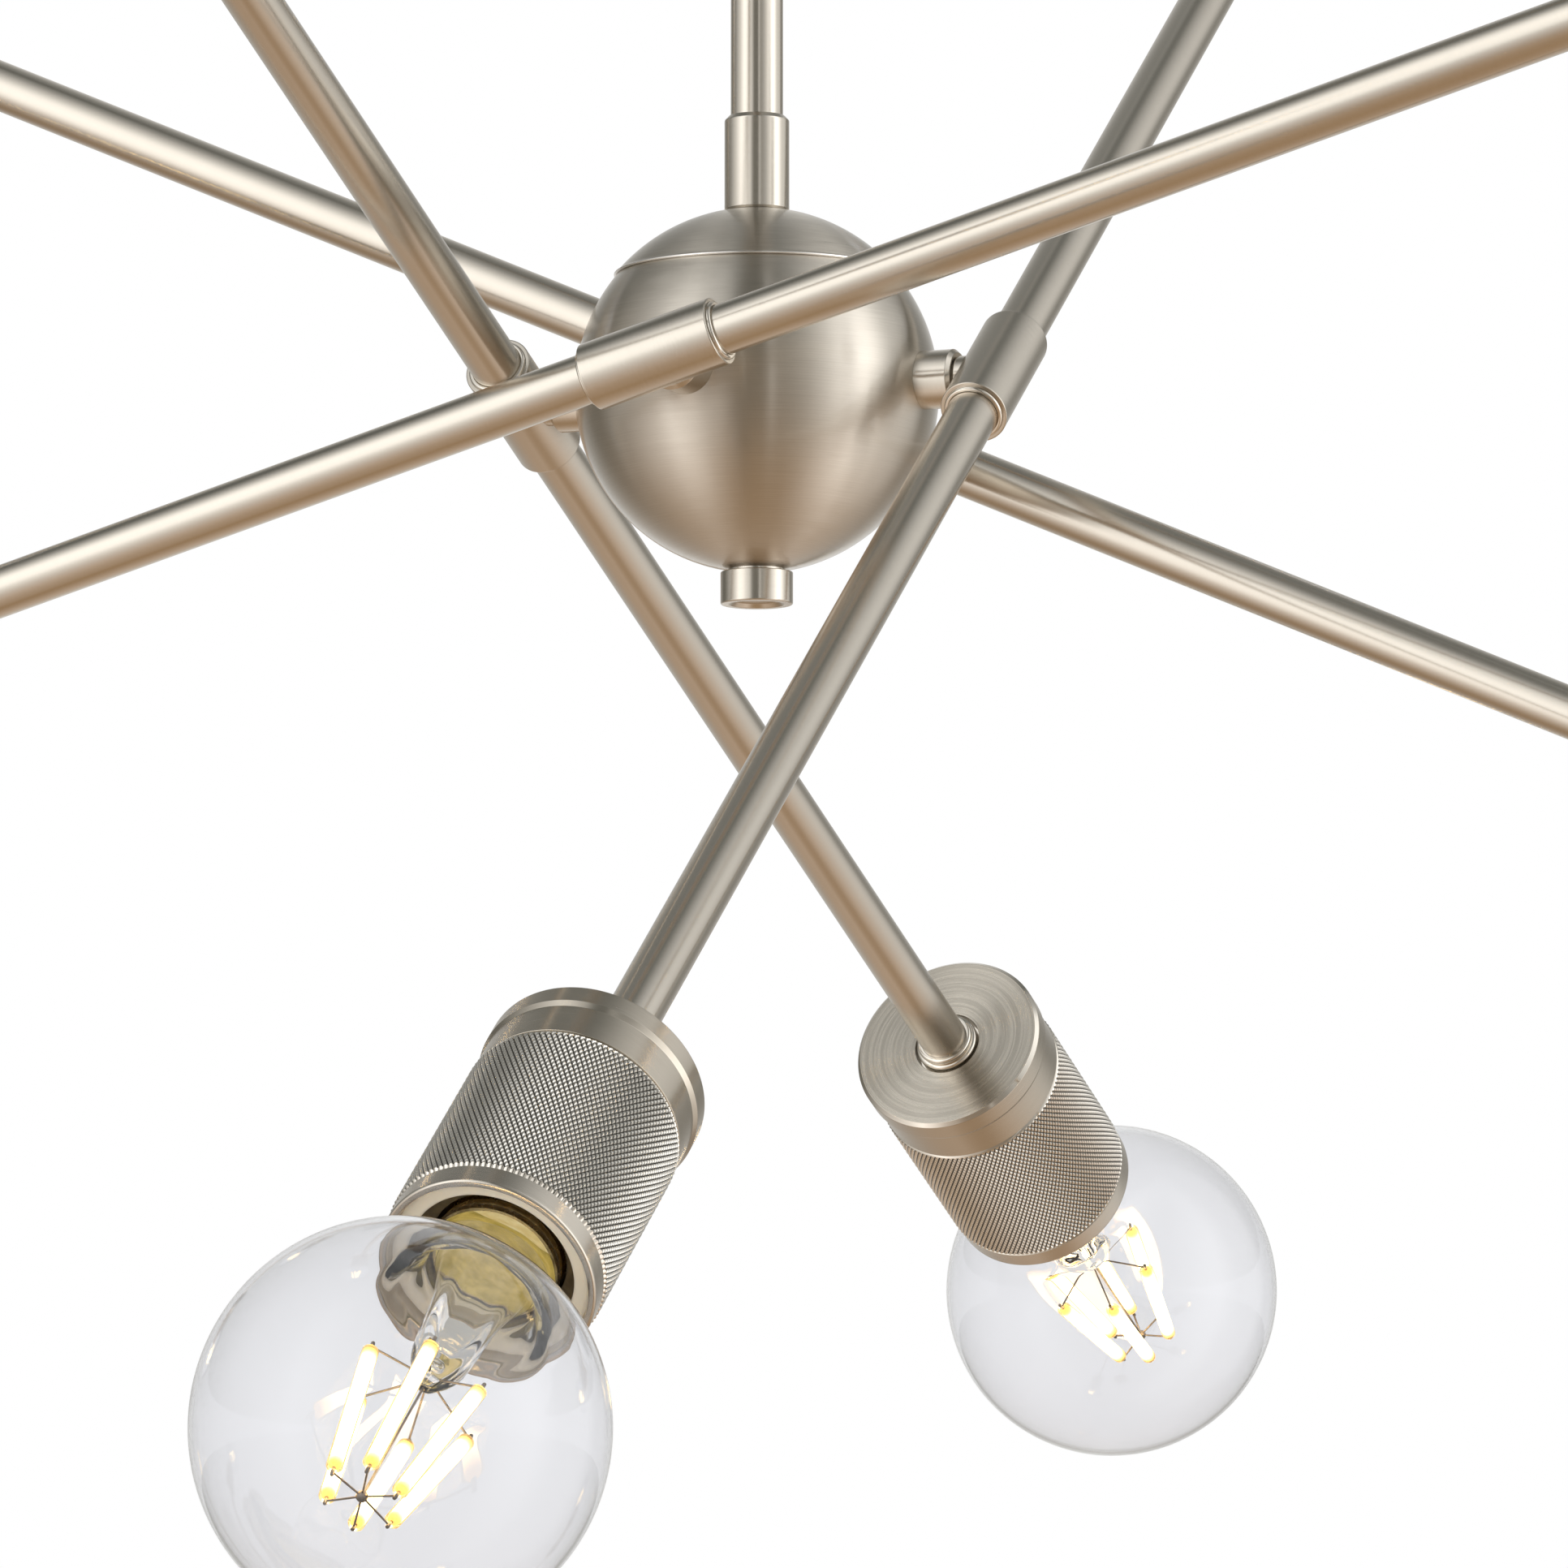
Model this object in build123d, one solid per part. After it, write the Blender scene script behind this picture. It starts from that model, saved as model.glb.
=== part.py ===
from build123d import *
import os, math

# ---------------------------------------------------------------- dimensions
# All lengths in millimetres. Z is up, the ceiling plane is Z = 0 and the
# fixture hangs below it on the Z axis.

# hub and stem
HUB_Z = -560.0          # centre of the ball hub below the ceiling plane
HUB_R = 39.25           # lower shell outer radius
CAP_R = 39.65           # upper cap outer radius, overhanging the shell a little
HUB_WALL = 1.5
SEAM_Z = 25.0           # seam above the hub centre
STEM_R = 5.65
STEM_BORE_R = 4.6
COUPLING_R = 7.0
COUPLING_TOP = 60.0     # above the hub centre
NIPPLE_R = 4.55
NIPPLE_BORE_R = 3.2
JOINT_Z = -290.0        # where the two stem tubes meet
JOINT_LEN = 24.0
FINIAL_R = 7.8
FINIAL_BOTTOM = -46.4   # below the hub centre

# arms
ARM_R = 5.5
ARM_BORE_R = 4.6
ARM_OFFSET = 55.0       # arm axis from the stem axis
SLEEVE_R = 7.35
SLEEVE_HALF = 15.25
RING_R = 6.5
POST_R = 6.3
POST_END = 46.9
PIVOT_R = 3.5
PIVOT_BORE_R = 3.55
TILT_FRONT = 15.4       # degrees above level of each arm's raised end
TILT_RIGHT = 38.9
TILT_REAR = 23.4
TILT_LEFT = 25.3

# sockets, measured along the arm from the centre of its sleeve
CAP_TOP = 271.5
CUP_TOP = 286.5
KNURL_START = 288.0
KNURL_END = 332.5
MOUTH = 338.5
SOCKET_CAP_R = 22.6
CUP_R = 22.15
BAND_R = 21.9
CUP_BORE_R = 20.3
HOLDER_R = 19.9
HOLDER_FACE = 336.0

# bulbs
BULB_CENTRE = 389.0
BULB_R = 40.0
GLASS_T = 0.8
BASE_TIP = 309.0
BASE_TOP = 336.0
BASE_R = 12.9
FILAMENTS = 6

# ceiling parts
CANOPY_R = 65.0
CANOPY_H = 24.0
CANOPY_T = 1.2
BAR_LEN = 106.0
BAR_W = 24.0
BAR_T = 2.0
SLOT_SPACING = 88.9
SLOT_LEN = 14.0
SLOT_R = 2.5
STUD_X = 30.0
STUD_R = 2.0
PIN_Z = -46.0           # tilt pin of the hang-straight swivel

os.makedirs("parts", exist_ok=True)


# ------------------------------------------------------------------- helpers
def export(name, *shapes):
    solids = []
    for s in shapes:
        solids += list(s.solids())
    shape = solids[0] if len(solids) == 1 else Compound(solids)
    export_step(shape, "parts/%s.step" % name)


def rod(r, z0, z1, x=0.0, y=0.0):
    return Pos(x, y, (z0 + z1) / 2) * Cylinder(r, abs(z1 - z0))


def tube(ro, ri, z0, z1):
    return rod(ro, z0, z1) - rod(ri, z0 - 1, z1 + 1)


def turned(points):
    """Solid of revolution about Z from (radius, height) corners."""
    wire = Polyline(*[(r, 0, z) for r, z in points], close=True)
    return revolve(make_face(wire), Axis.Z)


def hexagon(af, z0, z1, bore):
    body = Pos(0, 0, z0) * extrude(RegularPolygon(af / math.sqrt(3), 6), z1 - z0)
    return body - rod(bore, z0 - 1, z1 + 1)


def x_dir(shape):
    """Turn a shape built on +Z so that it lies on +X."""
    return Rot(0, 90, 0) * shape


def both_ends(shape):
    """A shape built on +Z, laid on +Y and on -Y."""
    return [Rot(-90, 0, 0) * shape, Rot(90, 0, 0) * shape]


def sphere_at(r, z=0.0):
    return Pos(0, 0, z) * Sphere(r)


# ------------------------------------------------------------- ceiling parts
bar = Pos(0, 0, -BAR_T / 2) * Box(BAR_LEN, BAR_W, BAR_T)
bar = fillet(bar.edges().filter_by(Axis.Z), 5.0)
for sx in (-1, 1):
    slot = Pos(sx * SLOT_SPACING / 2, 0, -BAR_T - 1) * extrude(
        SlotOverall(SLOT_LEN, 2 * SLOT_R), BAR_T + 2)
    bar -= slot
    bar -= rod(STUD_R + 0.02, -BAR_T - 1, 1, sx * STUD_X)
bar -= rod(5.2, -BAR_T - 1, 1)
bar -= rod(1.77, -BAR_T - 1, 1, 15.0, 7.0)
export("ceiling_crossbar", bar)

# two canopy studs with their jam nuts, and the earth screw
studs = []
for sx in (-1, 1):
    studs.append(rod(STUD_R, -32.0, -0.1, sx * STUD_X))
    studs.append(Pos(sx * STUD_X, 0, 0) * hexagon(7.0, -BAR_T - 2.45, -BAR_T - 0.05, STUD_R + 0.02))
earth = rod(1.75, -BAR_T - 0.05, -0.1, 15.0, 7.0) + Pos(15.0, 7.0, -BAR_T - 1.55) * Cylinder(3.8, 3.0)
earth = earth - Pos(15.0, 7.0, -BAR_T - 2.6) * Box(6.0, 0.9, 1.0)
export("crossbar_screws", *studs, earth)

# canopy: a spun dish with a rolled shoulder
co = CANOPY_R
with BuildPart() as canopy_b:
    with BuildSketch(Plane.XZ):
        with BuildLine():
            l1 = Line((co, 0), (co, -CANOPY_H + 12))
            l2 = RadiusArc((co, -CANOPY_H + 12), (co - 12, -CANOPY_H), 12)
            l3 = Line((co - 12, -CANOPY_H), (6.7, -CANOPY_H))
            l4 = Line((6.7, -CANOPY_H), (6.7, -CANOPY_H + CANOPY_T))
            l5 = Line((6.7, -CANOPY_H + CANOPY_T), (co - 12, -CANOPY_H + CANOPY_T))
            l6 = RadiusArc((co - 12, -CANOPY_H + CANOPY_T), (co - CANOPY_T, -CANOPY_H + 12), -(12 - CANOPY_T))
            l7 = Line((co - CANOPY_T, -CANOPY_H + 12), (co - CANOPY_T, 0))
            l8 = Line((co - CANOPY_T, 0), (co, 0))
        make_face()
    revolve(axis=Axis.Z)
canopy = canopy_b.part
for sx in (-1, 1):
    canopy -= rod(STUD_R + 0.25, -CANOPY_H - 2, -CANOPY_H + 4, sx * STUD_X)
export("canopy", canopy)

# two ball cap nuts under the canopy and the swivel's lock nut inside it
cap_nuts = []
for sx in (-1, 1):
    nut = turned([(0, -34.6), (2.2, -34.2), (3.9, -33.0), (4.8, -31.2), (4.9, -29.4), (4.3, -27.6),
                  (3.6, -26.6), (3.6, -26.0), (5.4, -25.6), (5.4, -24.05), (STUD_R + 0.02, -24.05),
                  (STUD_R + 0.02, -32.3), (0, -32.3)])
    cap_nuts.append(Pos(sx * STUD_X, 0, 0) * nut)
lock = hexagon(17.0, -22.75, -19.2, 6.52)
export("canopy_nuts", *cap_nuts, lock)

# swivel housing: threaded collar clamped through the canopy
housing = turned([(6.5, -16.5), (6.5, -24.05), (11.0, -24.05), (11.0, -29.6), (9.4, -31.2), (4.05, -31.2), (4.05, -16.5)])
export("swivel_housing", housing)

# swivel knuckle: hollow shank with a retaining head and a fork below
shank = turned([(2.6, -14.2), (5.9, -14.2), (5.9, -16.2), (4.0, -16.2), (4.0, -31.5), (8.6, -31.5), (8.6, -35.0), (2.6, -35.0)])
ear_l = Pos(-5.6, 0, (-35.0 + PIN_Z) / 2) * Box(2.6, 12.0, abs(PIN_Z + 35.0)) + Pos(-5.6, 0, PIN_Z) * x_dir(Cylinder(6.0, 2.6))
ear_r = Pos(5.6, 0, (-35.0 + PIN_Z) / 2) * Box(2.6, 12.0, abs(PIN_Z + 35.0)) + Pos(5.6, 0, PIN_Z) * x_dir(Cylinder(6.0, 2.6))
knuckle = shank + ear_l + ear_r
knuckle = knuckle - Pos(0, 0, PIN_Z) * x_dir(Cylinder(2.02, 30.0))
export("swivel_knuckle", knuckle)

# tilt pin with an upset head at each side of the fork
pin = x_dir(Cylinder(2.0, 14.4)) + Pos(7.75, 0, 0) * x_dir(Cylinder(3.0, 1.1)) + Pos(-7.75, 0, 0) * x_dir(Cylinder(3.0, 1.1))
export("swivel_pin", Pos(0, 0, PIN_Z) * pin)

# --------------------------------------------------------------------- stem
tongue = Pos(0, 0, (PIN_Z - 53.0) / 2) * Box(8.0, 9.0, abs(-53.0 - PIN_Z)) + Pos(0, 0, PIN_Z) * x_dir(Cylinder(4.5, 8.0))
fitting = tongue + turned([(0, -53.0), (6.4, -53.0), (COUPLING_R, -53.6), (COUPLING_R, -60.0), (NIPPLE_R, -60.0), (NIPPLE_R, -70.0), (0, -70.0)])
fitting = fitting - Pos(0, 0, PIN_Z) * x_dir(Cylinder(2.05, 30.0)) - rod(2.6, -71, -56.5)
fitting = fitting - Pos(0, -5.0, -56.5) * Rot(90, 0, 0) * Cylinder(2.4, 10.0)
export("stem_top_fitting", fitting)

export("upper_stem_tube", tube(STEM_R, STEM_BORE_R, JOINT_Z + 0.4, -60.05))
bottom_of_tube = HUB_Z + COUPLING_TOP - 12.0
export("lower_stem_tube", tube(STEM_R, STEM_BORE_R, bottom_of_tube, JOINT_Z - 0.4))

jt, jb = JOINT_Z + JOINT_LEN / 2, JOINT_Z - JOINT_LEN / 2
joint = turned([(STEM_R + 0.04, jt), (COUPLING_R - 0.9, jt), (COUPLING_R, jt - 0.9), (COUPLING_R, jb + 0.9),
                (COUPLING_R - 0.9, jb), (STEM_R + 0.04, jb)])
export("stem_joint_coupling", joint)

ct = HUB_Z + COUPLING_TOP
hub_coupling = turned([(STEM_R + 0.04, ct), (COUPLING_R - 0.9, ct), (COUPLING_R, ct - 0.9), (COUPLING_R, HUB_Z + 36.0),
                       (NIPPLE_R + 0.03, HUB_Z + 36.0), (NIPPLE_R + 0.03, ct - 12.05), (STEM_R + 0.04, ct - 12.05)])
hub_coupling = hub_coupling - sphere_at(CAP_R + 0.03, HUB_Z)
export("hub_coupling", hub_coupling)

# threaded nipples: one inside the mid joint, one right through the hub,
# with a side opening in the middle for the arm wires
mid_nipple = tube(NIPPLE_R, NIPPLE_BORE_R, JOINT_Z - 20, JOINT_Z + 20)
hub_nipple = tube(NIPPLE_R, NIPPLE_BORE_R, HUB_Z + FINIAL_BOTTOM + 3.0, ct - 4.0)
hub_nipple = hub_nipple - Pos(0, 0, HUB_Z + 14.0) * Rot(0, 0, 45) * Box(20.0, 4.4, 12.0)
export("threaded_nipples", mid_nipple, hub_nipple)

# two insulated conductors down the stem
wires = [rod(1.3, HUB_Z + 22.0, -72.0, sx * 1.5) for sx in (-1, 1)]
export("stem_wiring", *wires)

# ---------------------------------------------------------------------- hub
cap = sphere_at(CAP_R) - sphere_at(CAP_R - HUB_WALL)
cap = cap & (Pos(0, 0, SEAM_Z + 50) * Box(120, 120, 100))
cap = cap - rod(NIPPLE_R + 0.05, 20, 60)
export("hub_top_cap", Pos(0, 0, HUB_Z) * cap)

shell = sphere_at(HUB_R) - sphere_at(HUB_R - HUB_WALL)
shell = shell & (Pos(0, 0, SEAM_Z - 0.03 - 50) * Box(120, 120, 100))
shell = shell - rod(NIPPLE_R + 0.05, -60, -20)
for k in range(4):
    shell = shell - Rot(0, 0, 90 * k) * x_dir(rod(4.8, 20, 60))
export("hub_shell", Pos(0, 0, HUB_Z) * shell)

finial = turned([(0, FINIAL_BOTTOM + 1.0), (5.2, FINIAL_BOTTOM + 1.0), (5.9, FINIAL_BOTTOM), (FINIAL_R - 0.4, FINIAL_BOTTOM),
                 (FINIAL_R, FINIAL_BOTTOM + 0.4), (FINIAL_R, -39.4), (6.1, -39.4), (6.1, -38.0), (NIPPLE_R + 0.03, -38.0),
                 (NIPPLE_R + 0.03, FINIAL_BOTTOM + 2.6), (0, FINIAL_BOTTOM + 2.6)])
finial = finial - sphere_at(HUB_R + 0.03)
export("hub_finial", Pos(0, 0, HUB_Z) * finial)

# four posts: a collar seated on the ball with a shank through the wall
post = turned([(PIVOT_BORE_R, 31.0), (4.75, 31.0), (4.75, 37.0), (POST_R, 37.0), (POST_R, POST_END - 0.8),
               (POST_R - 0.8, POST_END), (PIVOT_BORE_R, POST_END)])
collar_zone = rod(POST_R + 1, 30.0, 60.0) - rod(4.75, 20, 70)
post = post - (collar_zone & sphere_at(HUB_R + 0.03))
post = x_dir(post)
export("arm_posts", *[Pos(0, 0, HUB_Z) * Rot(0, 0, 90 * k) * post for k in range(4)])

post_nut = x_dir(Rot(0, 0, 0) * hexagon(11.6, 32.6, 36.7, 4.78))
fasteners = [Pos(0, 0, HUB_Z) * Rot(0, 0, 90 * k) * post_nut for k in range(4)]
fasteners.append(Pos(0, 0, HUB_Z) * hexagon(12.0, 33.2, 37.2, NIPPLE_R + 0.03))
fasteners.append(Pos(0, 0, HUB_Z) * hexagon(12.0, -36.9, -32.9, NIPPLE_R + 0.03))
export("hub_fasteners", *fasteners)

# short leads in the canopy: three conductors, each ending in a twist connector
def wire_sweep(points, r, radius):
    path = FilletPolyline(*points, radius=radius)
    return sweep(Plane(origin=path @ 0, z_dir=path % 0) * Circle(r), path=path)


lead_shapes = []
for y_end, x_end, x0 in ((-22.0, 24.0, -1.3), (22.0, 24.0, 1.3), (20.0, -24.0, 0.0)):
    y0 = 0.9 if x0 == 0.0 else -0.7
    pts = [(x0, y0, -15.5), (x0, y0, -8.0), (x_end * 0.45, y_end * 0.45 + y0, -7.4), (x_end, y_end, -10.0)]
    lead_shapes.append(wire_sweep(pts, 0.95, 2.6))
    d = Vector(pts[3]) - Vector(pts[2])
    pl = Plane(origin=Vector(pts[3]) + d.normalized() * 0.05, z_dir=d.normalized())
    cone = pl * Pos(0, 0, 6.5) * Cone(4.2, 2.8, 13.0)
    lead_shapes.append(cone)
export("supply_leads", *lead_shapes)

# --------------------------------------------------------------------- arms
# Local frame of an arm: +X out along its post, +Y towards its raised end.
sleeve = Rot(90, 0, 0) * Cylinder(SLEEVE_R, 2 * SLEEVE_HALF)
neck = x_dir(rod(4.7, POST_END + 0.35, ARM_OFFSET - 3.0)) + x_dir(rod(PIVOT_R, 24.0, POST_END + 0.5))
sleeve = Pos(ARM_OFFSET, 0, 0) * sleeve + neck
sleeve = sleeve - Pos(ARM_OFFSET, 0, 0) * Rot(90, 0, 0) * Cylinder(ARM_R + 0.03, 2 * SLEEVE_HALF + 2)
for s in (-1, 1):
    sleeve = sleeve - Pos(ARM_OFFSET, s * (SLEEVE_HALF + 0.0), 0) * Rot(90, 0, 0) * Cylinder(RING_R + 0.03, 2.0)
sleeve = sleeve - x_dir(rod(2.0, 20.0, ARM_OFFSET))

pivot_nut = x_dir(hexagon(9.6, 24.6, 29.4, PIVOT_R + 0.02))
washer = x_dir(tube(5.4, PIVOT_R + 0.06, 29.6, 30.6))

arm_tube = tube(ARM_R, ARM_BORE_R, 4.5, CUP_TOP - 2.6)

ring = turned([(ARM_R + 0.04, SLEEVE_HALF - 0.95), (RING_R, SLEEVE_HALF - 0.95), (RING_R, SLEEVE_HALF + 0.35),
               (RING_R - 0.18, SLEEVE_HALF + 0.68), (RING_R - 0.5, SLEEVE_HALF + 0.8), (ARM_R + 0.04, SLEEVE_HALF + 0.8)])
t = CAP_TOP
collar = turned([(ARM_R + 0.04, t - 2.6), (6.2, t - 2.6), (6.55, t - 2.45), (6.7, t - 2.1), (6.7, t - 1.5), (6.6, t - 1.1),
                 (7.0, t - 1.0), (7.3, t - 0.8), (7.4, t - 0.5), (7.4, t + 2.05), (9.6, t + 2.05), (9.6, t + 3.6), (ARM_R + 0.04, t + 3.6)])

socket_cap = turned([(7.9, t), (SOCKET_CAP_R - 0.6, t), (SOCKET_CAP_R, t + 0.6), (SOCKET_CAP_R, t + 4.6), (SOCKET_CAP_R - 0.35, t + 4.75),
                     (SOCKET_CAP_R - 0.35, t + 5.05), (SOCKET_CAP_R, t + 5.2), (SOCKET_CAP_R, CUP_TOP), (21.1, CUP_TOP), (21.1, t + 2.0), (7.9, t + 2.0)])

cup = turned([(21.0, CUP_TOP - 5.0), (21.0, CUP_TOP + 0.05), (22.3, CUP_TOP + 0.05), (22.3, KNURL_START), (CUP_R, KNURL_START + 0.1),
              (CUP_R, KNURL_END), (BAND_R, KNURL_END + 0.15), (BAND_R, MOUTH - 0.5), (BAND_R - 0.25, MOUTH - 0.1), (BAND_R - 0.6, MOUTH),
              (CUP_BORE_R + 0.2, MOUTH), (CUP_BORE_R, MOUTH - 0.2), (CUP_BORE_R, CUP_TOP - 5.0)])

holder = turned([(3.0, 284.5), (HOLDER_R - 1.5, 284.5), (HOLDER_R, 286.0), (HOLDER_R, HOLDER_FACE - 0.6), (HOLDER_R - 0.6, HOLDER_FACE),
                 (15.6, HOLDER_FACE), (15.0, HOLDER_FACE - 0.6), (15.0, HOLDER_FACE - 4.0), (13.7, HOLDER_FACE - 5.0), (13.7, BASE_TIP - 0.3),
                 (5.0, BASE_TIP - 0.3), (5.0, 300.0), (3.0, 298.0)])

# screw base: ribbed shell, insulator and centre contact
thread = [(BASE_R - 1.0, BASE_TOP), (BASE_R - 1.0, BASE_TOP - 3.0)]
zt = BASE_TOP - 3.0
for k in range(5):
    thread += [(BASE_R - 0.15, zt - 0.9), (BASE_R, zt - 1.6), (BASE_R - 0.15, zt - 2.3), (BASE_R - 1.0, zt - 3.2)]
    zt -= 3.2
shell_end = zt - 0.4
thread += [(BASE_R - 1.6, shell_end), (BASE_R - 2.4, shell_end)]
base_shell = turned(thread + [(BASE_R - 2.4, BASE_TOP)])
insulator = turned([(0, shell_end + 1.0), (BASE_R - 2.45, shell_end + 1.0), (BASE_R - 2.45, shell_end - 0.05), (BASE_R - 2.0, shell_end - 0.4),
                    (5.2, BASE_TIP + 1.6), (0, BASE_TIP + 1.6)])
contact = turned([(0, BASE_TIP + 1.55), (4.6, BASE_TIP + 1.55), (4.2, BASE_TIP + 0.5), (2.8, BASE_TIP), (0, BASE_TIP)])


def glass_line(inset):
    """Bulb wall from the neck, round the shoulder, over the globe to the crown."""
    r = BULB_R - inset
    a = math.radians(38.0)
    neck = Line((13.3 - inset, 333.6), (13.3 - inset, 337.4))
    shoulder = Spline(neck @ 1, (14.6 - inset * 0.95, 342.0), (18.0 - inset * 0.8, 348.4), (r * math.sin(a), BULB_CENTRE - r * math.cos(a)),
                      tangents=[(0, 1), (math.cos(a), math.sin(a))])
    globe = CenterArc((0, BULB_CENTRE), r, -90.0 + 38.0, 180.0 - 38.0)
    return neck, shoulder, globe


def glass_solid():
    with BuildPart() as b:
        with BuildSketch(Plane.XZ):
            with BuildLine():
                o = glass_line(0.0)
                i = glass_line(GLASS_T)
                Line(o[2] @ 1, i[2] @ 1)
                Line(i[0] @ 0, o[0] @ 0)
            make_face()
        revolve(axis=Axis.Z)
    return b.part


glass = glass_solid()

# lamp stem and its crown of filaments: each filament has a metal clip at both
# ends, the upper clips wired to the stem and the lower ones to a centre wire
stem_glass = turned([(0, 337.5), (10.6, 337.5), (10.2, 339.0), (7.0, 346.0), (5.9, 352.0), (5.6, 368.0), (4.6, 371.6), (0, 372.4)])
stem_glass = stem_glass - turned([(0, 336.0), (9.8, 336.0), (9.4, 339.0), (6.0, 346.5), (4.6, 352.0), (3.6, 357.0), (0, 358.0)])
top_s, low_s, top_r, low_r = BULB_CENTRE - 13.8, BULB_CENTRE + 22.9, 13.4, 6.4
CLIP_LEN = 2.4


def wire_between(p, q, r):
    d = q - p
    return Plane(origin=p, z_dir=d.normalized()) * Pos(0, 0, d.length / 2) * Cylinder(r, d.length)


centre_wire = rod(0.45, 372.45, low_s + 3.4) + Pos(0, 0, low_s + 3.6) * Sphere(1.2)
sticks, upper_clips = [], []
for k in range(FILAMENTS):
    a = math.radians(360.0 / FILAMENTS * k + 15)
    ca, sa = math.cos(a), math.sin(a)
    p0, p1 = Vector(top_r * ca, top_r * sa, top_s), Vector(low_r * ca, low_r * sa, low_s)
    u = (p1 - p0).normalized()
    sticks.append(wire_between(p0, p1, 0.9))
    up_in, up_out = p0 - u * 0.05, p0 - u * (0.05 + CLIP_LEN)
    lo_in, lo_out = p1 + u * 0.05, p1 + u * (0.05 + CLIP_LEN)
    upper_clips.append(wire_between(up_in, up_out, 0.8) + wire_between(up_out + u * 0.4, Vector(5.9 * ca, 5.9 * sa, 367.0), 0.3))
    centre_wire += wire_between(lo_in, lo_out, 0.8) + wire_between(lo_out - u * 0.4, Vector(0, 0, low_s + 3.6), 0.3)

for name, azimuth, tilt in (("front_arm", -90.0, TILT_FRONT), ("right_arm", 0.0, TILT_RIGHT),
                            ("rear_arm", 90.0, TILT_REAR), ("left_arm", 180.0, TILT_LEFT)):
    place = Pos(0, 0, HUB_Z) * Rot(0, 0, azimuth) * Rot(tilt, 0, 0)
    arm_line = place * Pos(ARM_OFFSET, 0, 0)

    def ends(*shapes):
        out = []
        for s in shapes:
            out += [arm_line * e for e in both_ends(s)]
        return out

    export(name + "_sleeve", place * sleeve)
    export(name + "_pivot_nut", place * pivot_nut, place * washer)
    export(name + "_tubes", *ends(arm_tube))
    export(name + "_polished_rings", *ends(ring, collar))
    export(name + "_socket_caps", *ends(socket_cap))
    export(name + "_knurled_cups", *ends(cup))
    export(name + "_lampholders", *ends(holder))
    export(name + "_bulb_bases", *ends(base_shell, insulator, contact))
    export(name + "_bulb_glasses", *ends(glass))
    export(name + "_bulb_filaments", *ends(stem_glass, centre_wire, *upper_clips, *sticks))
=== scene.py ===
import bpy, math
import numpy as np
from mathutils import Matrix, Vector


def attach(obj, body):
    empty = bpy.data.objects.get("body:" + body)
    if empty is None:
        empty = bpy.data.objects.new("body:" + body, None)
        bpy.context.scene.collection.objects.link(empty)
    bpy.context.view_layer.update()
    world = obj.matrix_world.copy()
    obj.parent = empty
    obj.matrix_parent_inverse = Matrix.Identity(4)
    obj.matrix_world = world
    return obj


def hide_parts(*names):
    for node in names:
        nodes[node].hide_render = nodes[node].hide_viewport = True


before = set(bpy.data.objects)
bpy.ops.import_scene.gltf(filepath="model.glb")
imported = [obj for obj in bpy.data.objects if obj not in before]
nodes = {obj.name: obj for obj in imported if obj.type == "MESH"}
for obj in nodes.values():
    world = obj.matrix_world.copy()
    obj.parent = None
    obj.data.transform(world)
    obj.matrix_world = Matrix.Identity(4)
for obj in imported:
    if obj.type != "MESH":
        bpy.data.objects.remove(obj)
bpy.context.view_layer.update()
scene = bpy.context.scene

# ------------------------------------------------------------------ dimensions (mm, as in the solid model)
HUB_Z = -560.0
HUB_R, CAP_R, SEAM_Z = 39.25, 39.65, 25.0
ARM_OFFSET = 55.0
CAP_TOP, CUP_TOP, KNURL_START, KNURL_END, MOUTH = 271.5, 286.5, 288.0, 332.5, 338.5
HOLDER_FACE = 336.0
BULB_CENTRE, BULB_R = 389.0, 40.0
ARMS = (("front_arm", -90.0, 15.4), ("right_arm", 0.0, 38.9), ("rear_arm", 90.0, 23.4), ("left_arm", 180.0, 25.3))
MM = 0.001


def T(x, y, z):
    return Matrix.Translation(Vector((x * MM, y * MM, z * MM)))


def R(deg, axis):
    return Matrix.Rotation(math.radians(deg), 4, axis)


# ------------------------------------------------------------------ mesh helpers
def soften(points, steps=4):
    """Corner list [(r, z) or (r, z, radius)] -> [(r, z)] with rounded corners and support points."""
    n = len(points)
    out = []
    for i, p in enumerate(points):
        rad = p[2] if len(p) > 2 else 0.0
        a = np.array(p[:2], float)
        if rad <= 0 or i == 0 or i == n - 1:
            out.append(tuple(a))
            continue
        b, c = np.array(points[i - 1][:2], float), np.array(points[i + 1][:2], float)
        u, v = b - a, c - a
        lu, lv = np.linalg.norm(u), np.linalg.norm(v)
        u, v = u / lu, v / lv
        ang = math.acos(max(-1.0, min(1.0, float(u @ v))))
        if ang > math.radians(175):
            out.append(tuple(a))
            continue
        t = min(rad / math.tan(ang / 2), lu * 0.48, lv * 0.48)
        rad = t * math.tan(ang / 2)
        centre = a + (u + v) / np.linalg.norm(u + v) * (rad / math.sin(ang / 2))
        s, e = a + u * t, a + v * t
        sup = min(0.15, lu * 0.2, t * 0.8)
        sup2 = min(0.15, lv * 0.2, t * 0.8)
        if lu - t > 3 * sup:
            out.append(tuple(s + u * sup))
        ds, de = s - centre, e - centre
        total = math.acos(max(-1.0, min(1.0, float(ds @ de) / (np.linalg.norm(ds) * np.linalg.norm(de)))))
        for k in range(steps + 1):
            f = k / steps
            if total < 1e-6:
                q = ds
            else:
                q = (math.sin((1 - f) * total) * ds + math.sin(f * total) * de) / math.sin(total)
            out.append(tuple(centre + q))
        if lv - t > 3 * sup2:
            out.append(tuple(e + v * sup2))
    return out


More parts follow.
